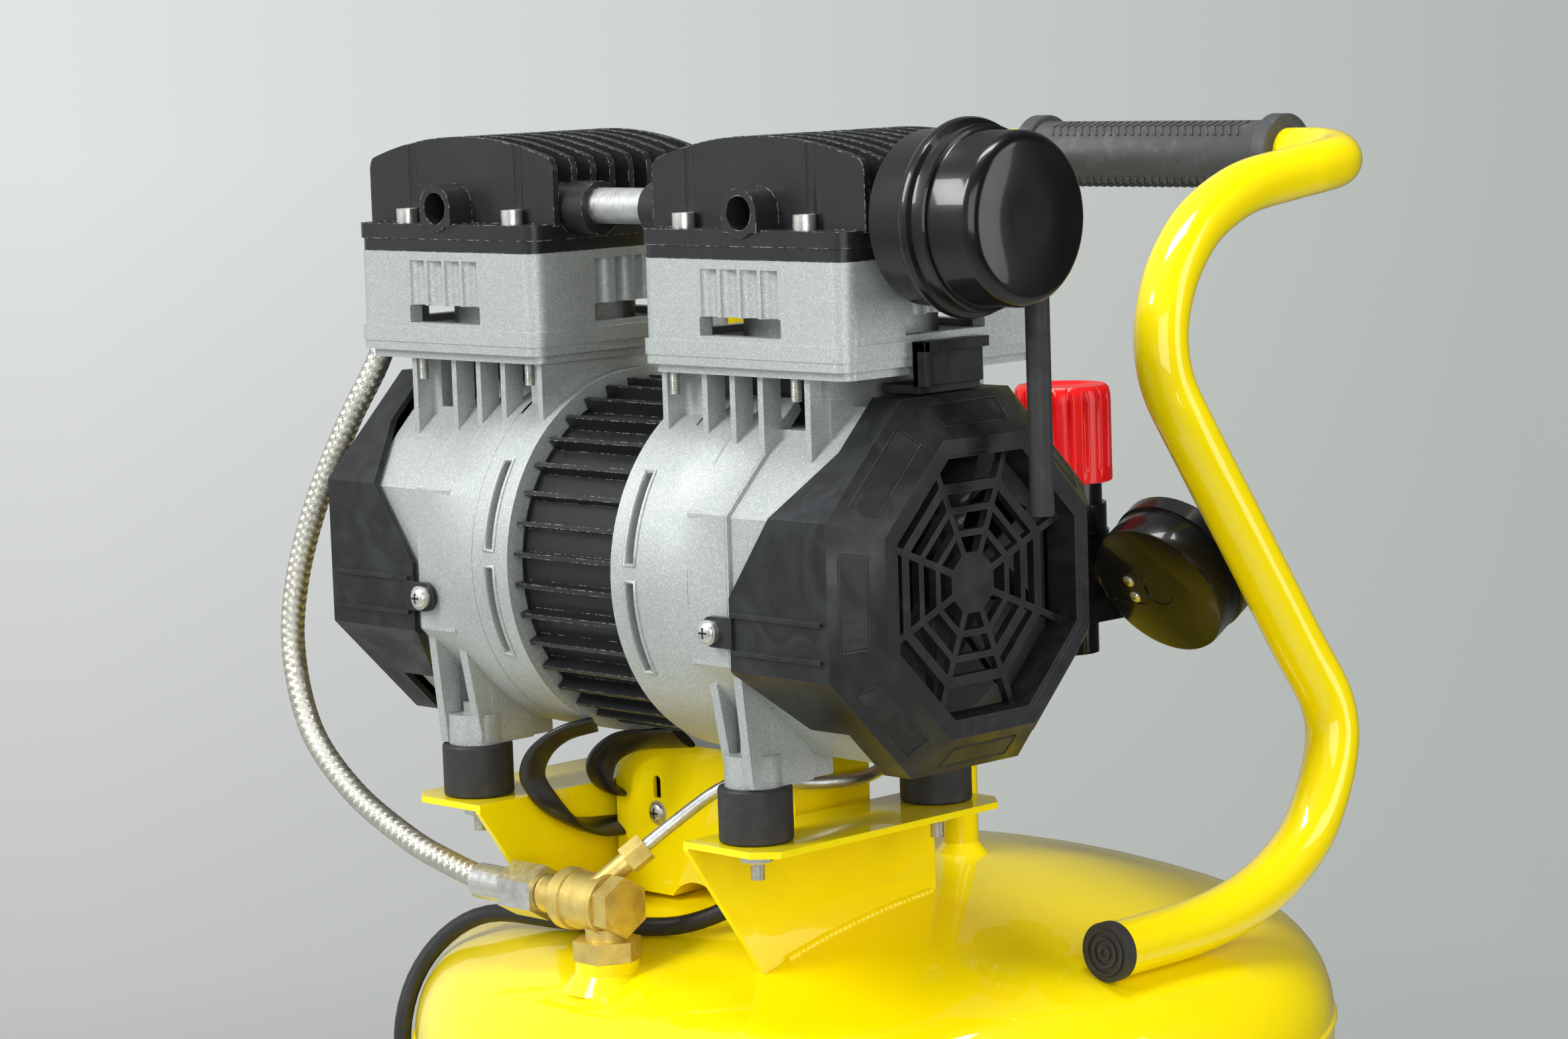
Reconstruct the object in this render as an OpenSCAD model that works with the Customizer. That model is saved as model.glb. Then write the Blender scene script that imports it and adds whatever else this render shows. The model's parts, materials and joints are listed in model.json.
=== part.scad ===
// Air compressor: an oil-free two-head pump on an upright tank with a wheeled base.
// Millimetres, +Z up. The origin is on the floor, in the middle of the whole footprint.

/* [Tank] */
// Outside diameter of the tank
tank_d = 435; // [380:5:460]
// Height of the straight part of the tank
tank_straight = 240; // [150:10:400]
// Depth of each domed end
dome_depth = 78; // [70:1:90]
// Clear height under the tank
tank_clear = 82; // [70:1:110]
// Tank wall thickness
tank_wall = 2.5; // [2:0.5:4]

/* [Pump] */
// Distance between the two pump heads' centres
head_pitch = 192.6; // [190:0.2:196]
// Spacing of the rubber mounts along the motor
mount_pitch_x = 182.7; // [180:0.1:186]
// Spacing of the rubber mounts across the motor
mount_pitch_y = 112.6; // [108:0.1:116]
// Height of the rubber mounts
mount_h = 24.2; // [20:0.2:26]
// Height of the motor axis above the brackets
axis_h = 110.9; // [110:0.1:113]
// Outside radius of the motor rings
ring_r = 83.2; // [82:0.1:84]
// Width across the cooling fan covers' flats
cover_flats = 160.4; // [158:0.2:162]

/* [Handle] */
// Outside diameter of the handle tube
handle_d = 25; // [22:0.5:26]
// Grip length between its end flanges
grip_len = 150; // [120:5:160]

/* [Wheels] */
// Wheel diameter
wheel_d = 140; // [120:2:150]
// Wheel width
wheel_w = 34; // [28:1:36]

/* [Cord] */
// Diameter of the power cord
cord_d = 8.4; // [7:0.2:9]

/* [Hidden] */
$fn = 48;

tank_r = tank_d / 2;
knuckle_r = 45;
// Crown radius that makes the dome dome_depth deep over the knuckle.
crown_r = (pow(tank_r - knuckle_r, 2) + pow(dome_depth, 2) - pow(knuckle_r, 2))
    / (2 * (dome_depth - knuckle_r));
shell_bottom = tank_clear + dome_depth;
shell_top = shell_bottom + tank_straight;
dome_top = shell_top + dome_depth;

// The handle reaches this far behind the tank's axis, so the tank sits forward of the origin.
handle_back = 243.5;
weld_r = 1.4;
tank_y = -(handle_back - tank_r - weld_r) / 2;
// The pump frame: middle of the four mounts, at the top of the brackets.
pump_y = tank_y - 105;
pump_z = dome_top + 42;
dome_y = tank_y - pump_y;

head_x = head_pitch / 2;
mount_x = mount_pitch_x / 2;
mount_y = mount_pitch_y / 2;
stud_d = 6;
bracket_t = 3;
flat_r = cover_flats / 2;
vertex = 1 / cos(22.5);
stator_half = 34;

// Heights above the brackets.
neck_z = 160;
deck_z = 200;
housing_z = 207.8;
plate_z = 249.3;
flange_z = 255;
fin_z = 262;
head_top = 291;
outlet_z = 269.7;
outlet_y = -33;
filter_y = -22;
filter_z = 266;
front_y = 60.7;

handle_r = handle_d / 2;
wheel_y = tank_y + 140;
wheel_x = 220;
floor_z = -pump_z;

// Control group in the pump frame.
riser = [33, 134];
port_z = 80;
reg_y = 200;
reg_x = 45;
gauge_r = 35;
gauge_tilt = 30;
gauge_x = 105;
tank_gauge = [-78, 150, 80];
switch_xy = [-18, 134];
safety_x = -61.6;

// Check valve in the pump frame.
valve = [0, -63, -39];
cord_r = cord_d / 2;
coil_r = 50.2;
coil_centre = [-194, 2];

// Centre lines, chosen by hand, in the pump frame.
hose_route = [[-176, -22, 240], [-176, -25, 222], [-179, -33, 196], [-194, -41, 166],
    [-212, -48, 128], [-224, -53, 90], [-226, -56, 55], [-211, -59, 18], [-177, -62, -8],
    [-135, -63, -26], [-105, -63, -34], [-84, -63, -38]];
side_route = [[178, 75, -60.5], [178, 100, -60.5], [178, 128, -60], [178, 160, -56],
    [176, 192, -47], [173, 221, -30], [170, 241, 0], [167, 243, 25], [161, 227, 57],
    [153, 195, 115], [147, 171, 158], [142.5, 163, 178], [140.5, 160.5, 196], [138.5, 165, 214],
    [135.5, 178, 233], [132.5, 200, 251], [131, 232, 264], [130, 268, 269], [130, 286, 271], [126, 308, 273],
    [114, 323, 275], [98, 329, 276], [84, 329, 276]];
unloader_route = [[6, -51.4, -18.9], [16, -36.8, -5.8], [28, -18.5, 8.5], [44, -11, 15], [58, -4, 13.5],
    [62.8, 16, 11], [62.8, 44, 10], [54, 72, 18], [34, 88, 40], [14, 98, 66], [-4, 102, 88],
    [-14, 103, 101]];
cord_route = [[38, -4, -42], [30, -12, -45], [18, -22, -51], [2, -29, -55], [-30, -34, -57.5],
    [-70, -33, -60.5], [-108, -32.4, -62.7], [-128.8, -36.1, -69.1], [-144, -42.1, -81.3],
    [-152.7, -49.3, -97.5], [-155.4, -55.4, -117], [-156, -56.5, -140], [-156, -56.5, -180],
    [-156, -56.5, -260], [-156, -56.5, -350], [-152.9, -58.8, -412.5], [-151.8, -60.9, -439.6],
    [-150.5, -61.4, -457.1], [-150.9, -60.9, -476], [-155.7, -60.5, -490.6],
    [-164.6, -60.2, -502.2], [-176.1, -59, -510.2], [-187.6, -57.5, -514.3], [-194, -56.6, -515.8]];
plug_route = [[-244.2, 2, -507.4], [-244.2, 18, -507.3], [-244.2, 34, -507.1],
    [-244.2, 49, -507]];
sleeve_front = [[-42, -47, 36.2], [-52, -47.5, 35.8], [-60, -50, 31], [-63.8, -52.5, 19],
    [-64.1, -52, 5], [-64.1, -44, -9], [-64.1, -28, -18], [-64.1, -8, -21.5],
    [-64.1, 8, -21.5], [-64, 17, -21.5], [-60, 22, -21.5], [-54, 23, -21.5]];
sleeve_back = [[-4, -8, 27.6], [-24, -8.5, 25.2], [-42, -9, 22], [-56, -9.5, 17],
    [-63, -9.5, 8], [-64.1, -5, -2], [-64.1, 8, -5], [-64, 17, -5], [-60, 22, -5], [-54, 23, -5]];

// ---- Shared shapes ----

// A smooth curve through the points, n spans between each pair.
function mid_curve(p, i, t) =
    let (a = p[max(i - 1, 0)], b = p[i], c = p[i + 1], d = p[min(i + 2, len(p) - 1)])
    0.5 * (2 * b + (c - a) * t + (2 * a - 5 * b + 4 * c - d) * t * t
        + (3 * b - a - 3 * c + d) * t * t * t);
function smooth(p, n) =
    [for (i = [0 : len(p) - 2]) for (k = [0 : n - 1]) mid_curve(p, i, k / n), p[len(p) - 1]];
function unit(v) = v / norm(v);
function heading(c, i) = unit(c[min(i + 1, len(c) - 1)] - c[max(i - 1, 0)]);
// Sideways direction at each ring, carried along the curve so that it never twists.
function square_to(v, t) = unit(v - (v * t) * t);
function sideways(c, seed) = [for (i = 0, v = square_to(seed, heading(c, 0)); i < len(c);
    i = i + 1, v = i < len(c) ? square_to(v, heading(c, i)) : v) v];

// A tube of oval section (a across, b thick) swept along a curve.
module sweep(c, a, b, sides, seed = [0, 0, 1]) {
    side = sideways(c, seed);
    points = [for (i = [0 : len(c) - 1]) for (k = [0 : sides - 1])
        let (w = 360 * k / sides, u = side[i], v = cross(heading(c, i), u))
        c[i] + a * cos(w) * u + b * sin(w) * v];
    last = (len(c) - 1) * sides;
    walls = [for (i = [0 : len(c) - 2]) for (k = [0 : sides - 1])
        let (j = (k + 1) % sides)
        [i * sides + k, (i + 1) * sides + k, (i + 1) * sides + j, i * sides + j]];
    polyhedron(points, concat(walls, [[for (k = [0 : sides - 1]) k]],
        [[for (k = [sides - 1 : -1 : 0]) last + k]]), convexity = 10);
}

module pump() translate([0, pump_y, pump_z]) children();
module along_x(x, y = 0, z = axis_h) translate([x, y, z]) rotate([0, 90, 0]) children();
module along_y(x, y, z) translate([x, y, z]) rotate([-90, 0, 0]) children();
module both_x() {
    children();
    mirror([1, 0, 0]) children();
}
module side_of(right) {
    if (right) children();
    else mirror([1, 0, 0]) children();
}
module both_y() {
    children();
    mirror([0, 1, 0]) children();
}
module at_mounts() for (x = [-1, 1], y = [-1, 1])
    translate([x * mount_x, y * mount_y, 0]) children();
module octagon(r, h) rotate([0, 0, 22.5]) cylinder(r = r, h = h, $fn = 8);
module pipe(r, r_in, h) difference() {
    cylinder(r = r, h = h);
    translate([0, 0, -1]) cylinder(r = r_in, h = h + 2);
}
module round_box(x, y, h, r) linear_extrude(h) round_rect(x, y, r);
module round_rect(x, y, r) {
    square([x - 2 * r, y], center = true);
    square([x, y - 2 * r], center = true);
    for (i = [-1, 1], j = [-1, 1]) translate([i * (x / 2 - r), j * (y / 2 - r)]) circle(r);
}
module hex(across, h) cylinder(r = across / 2 / cos(30), h = h, $fn = 6);

// ---- Tank ----

module dome_half(inset) {
    crown = crown_r - inset;
    knuckle = knuckle_r - inset;
    lean = asin((tank_r - knuckle_r) / (crown_r - knuckle_r));
    below = dome_depth - crown_r;
    translate([tank_r - knuckle_r, 0]) circle(knuckle, $fn = 96);
    intersection() {
        translate([0, below]) circle(crown, $fn = 256);
        polygon([[0, 0], [tank_r - knuckle_r, 0], [tank_r - knuckle_r + crown_r * sin(lean),
            crown_r * cos(lean)], [0, crown_r]]);
    }
}
module tank_profile(inset) intersection() {
    translate([0, tank_clear]) square([tank_r, dome_top - tank_clear]);
    union() {
        translate([0, shell_bottom]) square([tank_r - inset, tank_straight]);
        translate([0, shell_top]) dome_half(inset);
        translate([0, shell_bottom]) mirror([0, 1]) dome_half(inset);
    }
}
module tank_solid(inset = 0) translate([0, tank_y, 0])
    rotate_extrude($fn = 180) tank_profile(inset);

// Plates and legs hang from the bottom dome and stop just inside its skin.
module axle_plate() translate([-2.5, 0, 0]) rotate([90, 0, 90]) linear_extrude(5) difference() {
    polygon([[-40, 118], [-16, 52], [16, 52], [42, 150]]);
    translate([0, wheel_d / 2]) circle(6.1);
}
module front_leg() {
    translate([-22, -22, 24]) cube([44, 44, 4]);
    translate([-22, 4, 24]) cube([44, 4, 110]);
    for (x = [-22, 18]) translate([x, -18, 24]) cube([4, 24, 60]);
}
module boss(x, y, r, z_low, z_high) pump() translate([x, y, 0]) {
    translate([0, 0, z_low]) cylinder(r = r, h = z_high - z_low);
    translate([0, 0, z_low]) cylinder(r1 = r + 6, r2 = r, h = 8);
}
module tank() color("gold") {
    difference() {
        union() {
            tank_solid();
            for (x = [-115, 115]) translate([x, wheel_y, 0]) axle_plate();
            for (x = [-95, 95]) translate([x, tank_y - 150, 0]) front_leg();
            boss(valve[0], valve[1], 14.5, -77, -63.5);
            boss(riser[0], riser[1], 8.5, -47, 62);
            translate([0, tank_y, tank_clear - 14]) cylinder(r = 13, h = 18);
            for (z = [shell_bottom + 2, shell_top - 2]) translate([0, tank_y, z])
                rotate_extrude($fn = 180) translate([tank_r, 0]) circle(weld_r, $fn = 24);
        }
        tank_solid(tank_wall);
        pump() translate([valve[0], valve[1], -90]) cylinder(r = 8, h = 40);
        pump() translate([riser[0], riser[1], -60]) cylinder(r = 6, h = 140);
        translate([0, tank_y, tank_clear - 20]) cylinder(r = 6.2, h = 40);
    }
}
module front_feet() color("#1c1c1e") for (x = [-95, 95]) translate([x, tank_y - 150, 0])
    rotate_extrude() polygon([[0, 0], [20, 0], [22, 3], [18, 24], [0, 24]]);
module axle() color("silver") translate([0, wheel_y, wheel_d / 2]) {
    rotate([0, 90, 0]) translate([0, 0, -wheel_x - 19]) cylinder(r = 6, h = 2 * wheel_x + 38);
    both_x() along_x(118, 0, 0) pipe(10, 6, 3);
    both_x() along_x(wheel_x - 21.5, 0, 0) pipe(10, 6, 2.5);
    both_x() along_x(wheel_x + 17.5, 0, 0) pipe(9, 6, 1.5);
}
module wheel() rotate([0, 90, 0]) difference() {
    union() {
        rotate_extrude($fn = 96) difference() {
            translate([0, -wheel_w / 2]) square([wheel_d / 2, wheel_w]);
            for (s = [-1, 1]) translate([22, s * wheel_w / 2]) square([28, 14], center = true);
            for (s = [-1, 1]) translate([wheel_d / 2, s * wheel_w / 2]) rotate(45)
                square([8, 8], center = true);
        }
        for (k = [0 : 5]) rotate(60 * k) translate([12, -2, -13]) cube([27, 4, 26]);
    }
    cylinder(r = 6.08, h = 60, center = true);
}
module wheel_left() color("#202124") translate([-wheel_x, wheel_y, wheel_d / 2]) wheel();
module wheel_right() color("#202124") translate([wheel_x, wheel_y, wheel_d / 2]) wheel();
module drain_body() color("goldenrod") translate([0, tank_y, 0]) {
    translate([0, 0, tank_clear - 20]) difference() {
        cylinder(r = 6, h = 16);
        translate([0, 0, -1]) cylinder(r = 2.5, h = 18);
    }
    translate([0, 0, tank_clear - 24]) hex(17, 10);
    difference() {
        translate([0, -32, tank_clear - 32]) rotate([-90, 0, 0]) cylinder(r = 8, h = 42);
        translate([0, -33, tank_clear - 32]) rotate([-90, 0, 0]) cylinder(r = 3, h = 30);
        translate([0, -8, tank_clear - 46]) cylinder(r = 3.05, h = 20);
    }
}
module drain_lever() color("firebrick") translate([0, tank_y - 8, tank_clear - 46]) {
    cylinder(r = 3, h = 14);
    translate([0, 0, -5]) cylinder(r = 5, h = 5);
    translate([-4, -34, -5]) cube([8, 34, 2.5]);
}

// ---- Brackets and mounts ----

module bracket() color("gold") difference() {
    union() {
        translate([0, 0, -bracket_t]) linear_extrude(bracket_t)
            polygon([[67, -77], [108, -77], [118, -68], [118, 68], [108, 77], [67, 77]]);
        difference() {
            translate([67, 0, 0]) rotate([90, 0, 90]) linear_extrude(bracket_t)
                polygon([[-77, 0], [-77, -4], [-38, -60], [-26, -80], [74, -80], [77, -70], [77, 0]]);
            translate([0, -pump_y, -pump_z]) tank_solid();
        }
    }
    for (y = [-1, 1]) translate([mount_x, y * mount_y, -10]) cylinder(r = stud_d / 2 + 0.3, h = 20);
    along_x(60, -33, -61) cylinder(r = 7, h = 14);
}
module bracket_left() pump() mirror([1, 0, 0]) bracket();
module bracket_right() pump() bracket();
module rubber_mounts() color("#161618") pump() at_mounts() difference() {
    cylinder(r = 16.2, h = mount_h);
    translate([0, 0, -1]) cylinder(r = stud_d / 2, h = mount_h + 2);
}
module mount_hardware() color("silver") pump() at_mounts() {
    translate([0, 0, -17]) cylinder(r = stud_d / 2, h = 66);
    translate([0, 0, -bracket_t - 1.2]) pipe(6.5, stud_d / 2, 1.2);
    translate([0, 0, -bracket_t - 6.2]) difference() {
        hex(10, 5);
        translate([0, 0, -1]) cylinder(r = stud_d / 2, h = 7);
    }
    translate([0, 0, 38.2]) difference() {
        hex(10, 5);
        translate([0, 0, -1]) cylinder(r = stud_d / 2, h = 7);
    }
}

// ---- Handle ----

module handle_tube() color("gold") pump() {
    half = smooth(side_route, 3);
    back = [for (i = [len(half) - 1 : -1 : 0]) [-half[i][0], half[i][1], half[i][2]]];
    whole = concat(half, back);
    sweep(whole, handle_r, handle_r, 18);
}
module handle_grip() color("#3a3a3c") pump() along_x(-grip_len / 2, 329, 276) {
    pipe(16.2, handle_r, grip_len);
    for (z = [-7, grip_len - 2]) translate([0, 0, z]) pipe(19.5, handle_r, 9);
}
module handle_caps() color("#18181a") pump() both_x() along_y(178, 69.5, -60.5) {
    cylinder(r = handle_r + 0.8, h = 5.5);
    for (k = [0 : 2]) translate([0, 0, -1]) pipe(3.2 + 3.6 * k, 2 + 3.6 * k, 2);
}

// ---- Motor ----

fins = 36;
module stator_housing() color("#151517") pump() along_x(-stator_half) {
    pipe(73, 68, 2 * stator_half);
    for (k = [0 : fins - 1]) rotate(360 * (k + 0.5) / fins) translate([72.5, -1.1, 1])
        cube([7.3, 2.2, 2 * stator_half - 2]);
}
module stator_core() color("peru") pump() {
    along_x(-25) difference() {
        cylinder(r = 68, h = 50);
        translate([0, 0, -1]) cylinder(r = 36, h = 52);
    }
    both_x() along_x(25) pipe(60, 40, 8);
}
module bearings() color("silver") pump() both_x() along_x(42) pipe(16, 7.5, 11);
module rotor() color("dimgray") pump() {
    along_x(-24) cylinder(r = 35.4, h = 48);
    along_x(-160) cylinder(r = 6, h = 320);
    along_x(-56) cylinder(r = 7.44, h = 112);
    both_x() along_x(84) translate([0, -9, 0]) cylinder(r = 17, h = 12);
    both_x() along_x(70) intersection() {
        cylinder(r = 34, h = 10);
        translate([-34, 0, -1]) cube([68, 34, 12]);
    }
}
module fan() {
    difference() {
        cylinder(r = 18, h = 16);
        translate([0, 0, -1]) cylinder(r = 6, h = 18);
    }
    for (k = [0 : 8]) rotate(40 * k) translate([15, 0, 8]) rotate([38, 0, 0])
        translate([0, -1.2, -10]) cube([44, 2.4, 20]);
}
module fans() color("#222225") pump() both_x() along_x(136) fan();

module crankcase() color("#c4c6c8") {
    cast_body();
    for (x = [41, 66, 83, 100, 128], s = [-1, 1]) translate([x - 1.6, s * 48.3 - 5.3, neck_z + 0.4])
        cube([3.2, 10.6, deck_z - neck_z]);
}
module cast_body() difference() {
    union() {
        along_x(stator_half) cylinder(r = ring_r, h = 30);
        along_x(stator_half + 30) cylinder(r = ring_r - 2, h = 16);
        along_x(78) octagon(flat_r * vertex - 2.6, 24);
        along_x(102) octagon(flat_r * vertex - 4.6, 40);
        translate([40, -45, neck_z]) cube([93, 90, deck_z - neck_z]);
        translate([34, -61, deck_z]) round_deck();
        for (y = [-1, 1]) foot(y);
        both_y() along_y(94.5, -flat_r + 1.1, 94) cylinder(r = 6, h = 8);
    }
    along_x(stator_half - 1) cylinder(r = ring_r - 9, h = 9);
    along_x(stator_half + 20) cylinder(r = ring_r - 12, h = 60);
    along_x(stator_half + 1) cylinder(r = 16, h = 60);
    along_x(110) cylinder(r = 66, h = 40);
    translate([86.5, 0, axis_h]) cylinder(r = 30, h = 120);
    for (s = [-1, 1]) translate([88, s * 45, neck_z + 28]) rotate([90, 0, 0]) intersection() {
        cube([64, 22.4, 40], center = true);
        rotate(22.5) cylinder(r = 34, h = 40, center = true, $fn = 8);
    }
    for (a = [90, 56], s = [0, 180]) along_x(44) rotate(a + s) slot_cut();
    at_mounts() translate([0, 0, 10]) cylinder(r = stud_d / 2 + 0.4, h = 40);
    at_mounts() translate([0, 0, 38.2]) cylinder(r = 7.6, h = 24);
    both_y() along_y(94.5, -flat_r - 1, 94) cylinder(r = 2.6, h = 8);
}
module slot_cut() rotate_extrude(angle = 28) translate([ring_r - 14, 0]) square([20, 4.5]);
module round_deck() translate([62.3, 61, 0]) {
    round_box(118, 115, housing_z - deck_z - 4, 6);
    translate([0, 0, housing_z - deck_z - 4]) round_box(124, 122, 4, 7);
}
module foot(y) {
    translate([mount_x, y * mount_y, mount_h]) cylinder(r = 13, h = 14);
    translate([mount_x - 12, y > 0 ? mount_y - 24 : -mount_y, mount_h]) cube([24, 24, 34]);
    translate([mount_x + 6.6, 0, 0]) rotate([90, 0, 90]) linear_extrude(4.8)
        polygon([[y * 68, mount_h + 0.6], [y * 20, mount_h + 0.6], [y * 20, 60], [y * 74, 82]]);
    translate([mount_x - 11.4, 0, 0]) rotate([90, 0, 90]) linear_extrude(4.8)
        polygon([[y * 62, mount_h + 0.6], [y * 20, mount_h + 0.6], [y * 20, 60], [y * 72, 78]]);
}
module crankcase_left() pump() mirror([1, 0, 0]) crankcase();
module crankcase_right() pump() crankcase();

module cylinder_housing() color("#c9cbcd") translate([head_x, 0, housing_z]) difference() {
    union() {
        round_box(125, 123, 6.7, 7);
        round_box(123.3, 121.4, plate_z - housing_z, 8);
    }
    translate([0, 0, -1]) cylinder(r = 35, h = 60);
    difference() {
        translate([0, 0, 6]) round_box(109, 107, plate_z - housing_z - 12, 4);
        cylinder(r = 42, h = 60);
    }
    for (a = [0 : 90 : 270]) rotate(a) translate([0, -front_y, 9]) {
        translate([-24.5, -3, 0]) cube([49, 20, 8]);
        for (k = [-1.5 : 1]) translate([k * 12.2 + 6.1 - 6.1, -1.2, 8]) cylinder(r = 5.2, h = 20.5);
        translate([1.5 * 12.2, -1.2, 8]) cylinder(r = 5.2, h = 20.5);
    }
}
module cylinder_housing_left() pump() mirror([1, 0, 0]) cylinder_housing();
module cylinder_housing_right() pump() cylinder_housing();
module cylinder_liners() color("silver") pump() both_x()
    translate([head_x, 0, housing_z]) pipe(34.9, 32, plate_z - housing_z);
module piston_rods() color("lightgray") pump() both_x() {
    translate([head_x, 0, 224]) cylinder(r = 31.6, h = 5);
    translate([head_x, 0, 229]) cylinder(r = 25, h = 4);
    translate([head_x - 4, -6, 142]) cube([8, 12, 84]);
    along_x(head_x - 6) pipe(36, 30, 12);
}
module valve_plates() color("#1a1a1c") pump() both_x() translate([head_x, 0, plate_z])
    round_box(122, 120, flange_z - plate_z, 7);

module head() {
    color("#161618") difference() {
        union() {
            translate([head_x, 0, flange_z]) round_box(124, 121.4, fin_z - flange_z, 7);
            translate([head_x, 0, fin_z]) round_box(112, 92, 11, 6);
            for (k = [0 : 8]) translate([0, -47.1 + 11.4 * k, 0]) fin();
            along_y(head_x + 2.6, -front_y - 1.3, outlet_z - 0.5) cylinder(r = 10.5, h = 30);
            translate([head_x + 2.6 - 10.5, -front_y - 1.3, fin_z - 1]) cube([21, 20, 8]);
            along_x(head_x - 78, outlet_y, outlet_z - 1) cylinder(r = 12, h = 28);
            along_x(head_x + 50, filter_y, outlet_z - 1) cylinder(r = 12, h = 21.6);
        }
        along_y(head_x + 2.6, -front_y - 3, outlet_z - 0.5) cylinder(r = 7.2, h = 24);
        along_x(head_x - 80, outlet_y, outlet_z) cylinder(r = 8.1, h = 34);
        along_x(head_x + 60, filter_y, filter_z) cylinder(r = 8, h = 40);
        for (p = head_screws_at) translate([head_x + p[0], p[1], flange_z - 1]) {
            cylinder(r = 3.2, h = 60);
            translate([0, 0, fin_z - flange_z + 1]) cylinder(r = 5.4, h = 60);
        }
    }
}
head_screws_at = [[-40.4, -53], [32.8, -53], [-40.4, 53], [40.4, 53]];
module fin() rotate([90, 0, 0]) translate([head_x, 0, -1.6]) linear_extrude(3.2) intersection() {
    translate([0, fin_z - 1]) union() {
        translate([-64, 0]) square([128, 24.5]);
        translate([-56, 0]) square([112, 42]);
        for (s = [-1, 1]) translate([s * 56, 24.5]) circle(8);
    }
    translate([0, head_top + 10 - 200]) circle(200, $fn = 180);
}
module head_left() pump() mirror([1, 0, 0]) head();
module head_right() pump() head();
module casing_screws() color("silver") pump() {
    both_x() for (p = head_screws_at) translate([head_x + p[0], p[1], fin_z]) difference() {
        union() {
            cylinder(r = 5, h = 6.5);
            translate([0, 0, -6.9]) cylinder(r = 3, h = 7);
        }
        translate([0, 0, 3]) hex(5, 5);
    }
    both_x() both_y() along_y(94.5, -flat_r - 4.4, 94) {
        cylinder(r = 5, h = 2.7);
        cylinder(r = 2.4, h = 8);
    }
}
module crossover_tube() color("#b9bcc0") pump() along_x(-head_x + 50, outlet_y, outlet_z)
    pipe(8, 6.4, 2 * head_x - 100);

// ---- Fan covers ----

module cover_walls(inset, deep) intersection() {
    along_x(90 - inset) octagon(flat_r * vertex - inset, 92);
    along_x(84.4 - deep) rotate([0, 0, 22.5])
        cylinder(r1 = 67.9 - inset + 95 * cover_slope, r2 = 67.9 - inset, h = 95, $fn = 8);
}
cover_slope = (flat_r * vertex - 67.9) / 17.1;
module web() {
    rotate(22.5) circle(14, $fn = 8);
    for (r = [24.5, 35.5, 46.5]) difference() {
        rotate(22.5) circle(r, $fn = 8);
        rotate(22.5) circle(r - (r > 40 ? 4.6 : 3), $fn = 8);
    }
    for (k = [0 : 7]) rotate(22.5 + 45 * k) translate([10, -1.5]) square([54, 3]);
}
module fan_cover() color("#2e2f31") {
    difference() {
        cover_walls(0, 0);
        cover_walls(3, 2.4);
        along_x(150) octagon(62, 40);
        for (s = [-1, 1]) cover_cut(s);
        translate([80, -60, axis_h + 60]) cube([66, 120, 40]);
        translate([80, -60, axis_h - 100]) cube([66, 120, 40]);
    }
    along_x(165.7) linear_extrude(4) web();
    along_x(163) difference() {
        octagon(62.5, 16);
        translate([0, 0, -1]) octagon(59.5, 18);
    }
    both_y() for (z = [85.2, 101]) translate([106, -flat_r - 1.9, z]) cube([53, 2.5, 1.8]);
    both_y() difference() {
        translate([94.5, -flat_r + 1, 94]) rotate([90, 0, 0]) union() {
            cylinder(r = 6.6, h = 2.6);
            translate([0, -6.6, 0]) cube([12, 13.2, 2.6]);
        }
        translate([94.5, -flat_r + 3, 94]) rotate([90, 0, 0]) cylinder(r = 2.6, h = 12);
    }
}
// The side walls reach furthest back at mid height, then slope forward above and below.
module cover_cut(s) translate([0, s > 0 ? 25 : -125, 0]) rotate([90, 0, 0]) translate([0, 0, -100])
    linear_extrude(100) polygon([[80, 20], [130, 20], [128, 45], [104, 76], [104, 109], [129, 144],
        [146, 170], [146, 220], [80, 220]]);
module fan_cover_left() pump() mirror([1, 0, 0]) fan_cover();
module fan_cover_right() pump() fan_cover();
module air_guides() color("#1d1d1f") pump() both_x() {
    translate([158.9, -22, 195]) cube([7.4, 40, 19]);
    translate([138, -19, 191.5]) cube([21.5, 38, 8.3]);
}

// ---- Intake and delivery ----

module filter_housing() color("#121214") pump() {
    along_x(170, filter_y, filter_z) difference() {
        rotate_extrude($fn = 96) {
            square([36.5, 20]);
            translate([0, 19]) square([38.5, 15]);
            translate([38.5, 24]) circle(3, $fn = 32);
            translate([0, 33]) square([36, 18.5]);
            square([30, 57.5]);
            translate([30, 51.5]) circle(6, $fn = 48);
        }
        translate([0, 0, 3]) cylinder(r = 33, h = 46);
        translate([0, 0, -1]) cylinder(r = 5, h = 6);
    }
    along_x(head_x + 60.2, filter_y, filter_z) pipe(7.9, 5, 170 - head_x - 60);
}
module intake_tube() color("#1b1b1d") pump() difference() {
    translate([200, 11, 140]) pipe(5.2, 3.6, 118);
    along_x(165, filter_y, filter_z) cylinder(r = 36.2, h = 70);
    along_x(165, filter_y, filter_z) cylinder(r = 38.7, h = 39.2);
    along_x(190.8, filter_y, filter_z) cylinder(r = 41.7, h = 6.5);
}
module hose_fittings() color("silver") pump() {
    along_x(-85, valve[1], valve[2]) pipe(8.2, 5.8, 24);
    along_x(-61, valve[1], valve[2]) difference() {
        hex(22, 22);
        translate([0, 0, -1]) cylinder(r = 8.3, h = 24);
    }
    translate([-176, filter_y, 222]) pipe(8.2, 5.9, 24);
    translate([-176, filter_y, 246]) hex(19, 10.5);
    translate([-176, filter_y, 256]) cylinder(r = 8, h = 19);
    along_x(-170, filter_y, filter_z) cylinder(r = 7.8, h = 13.5);
}
module delivery_hose() color("#a8a79a") pump() sweep(smooth(hose_route, 4), 5.75, 5.75, 12);
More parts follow.
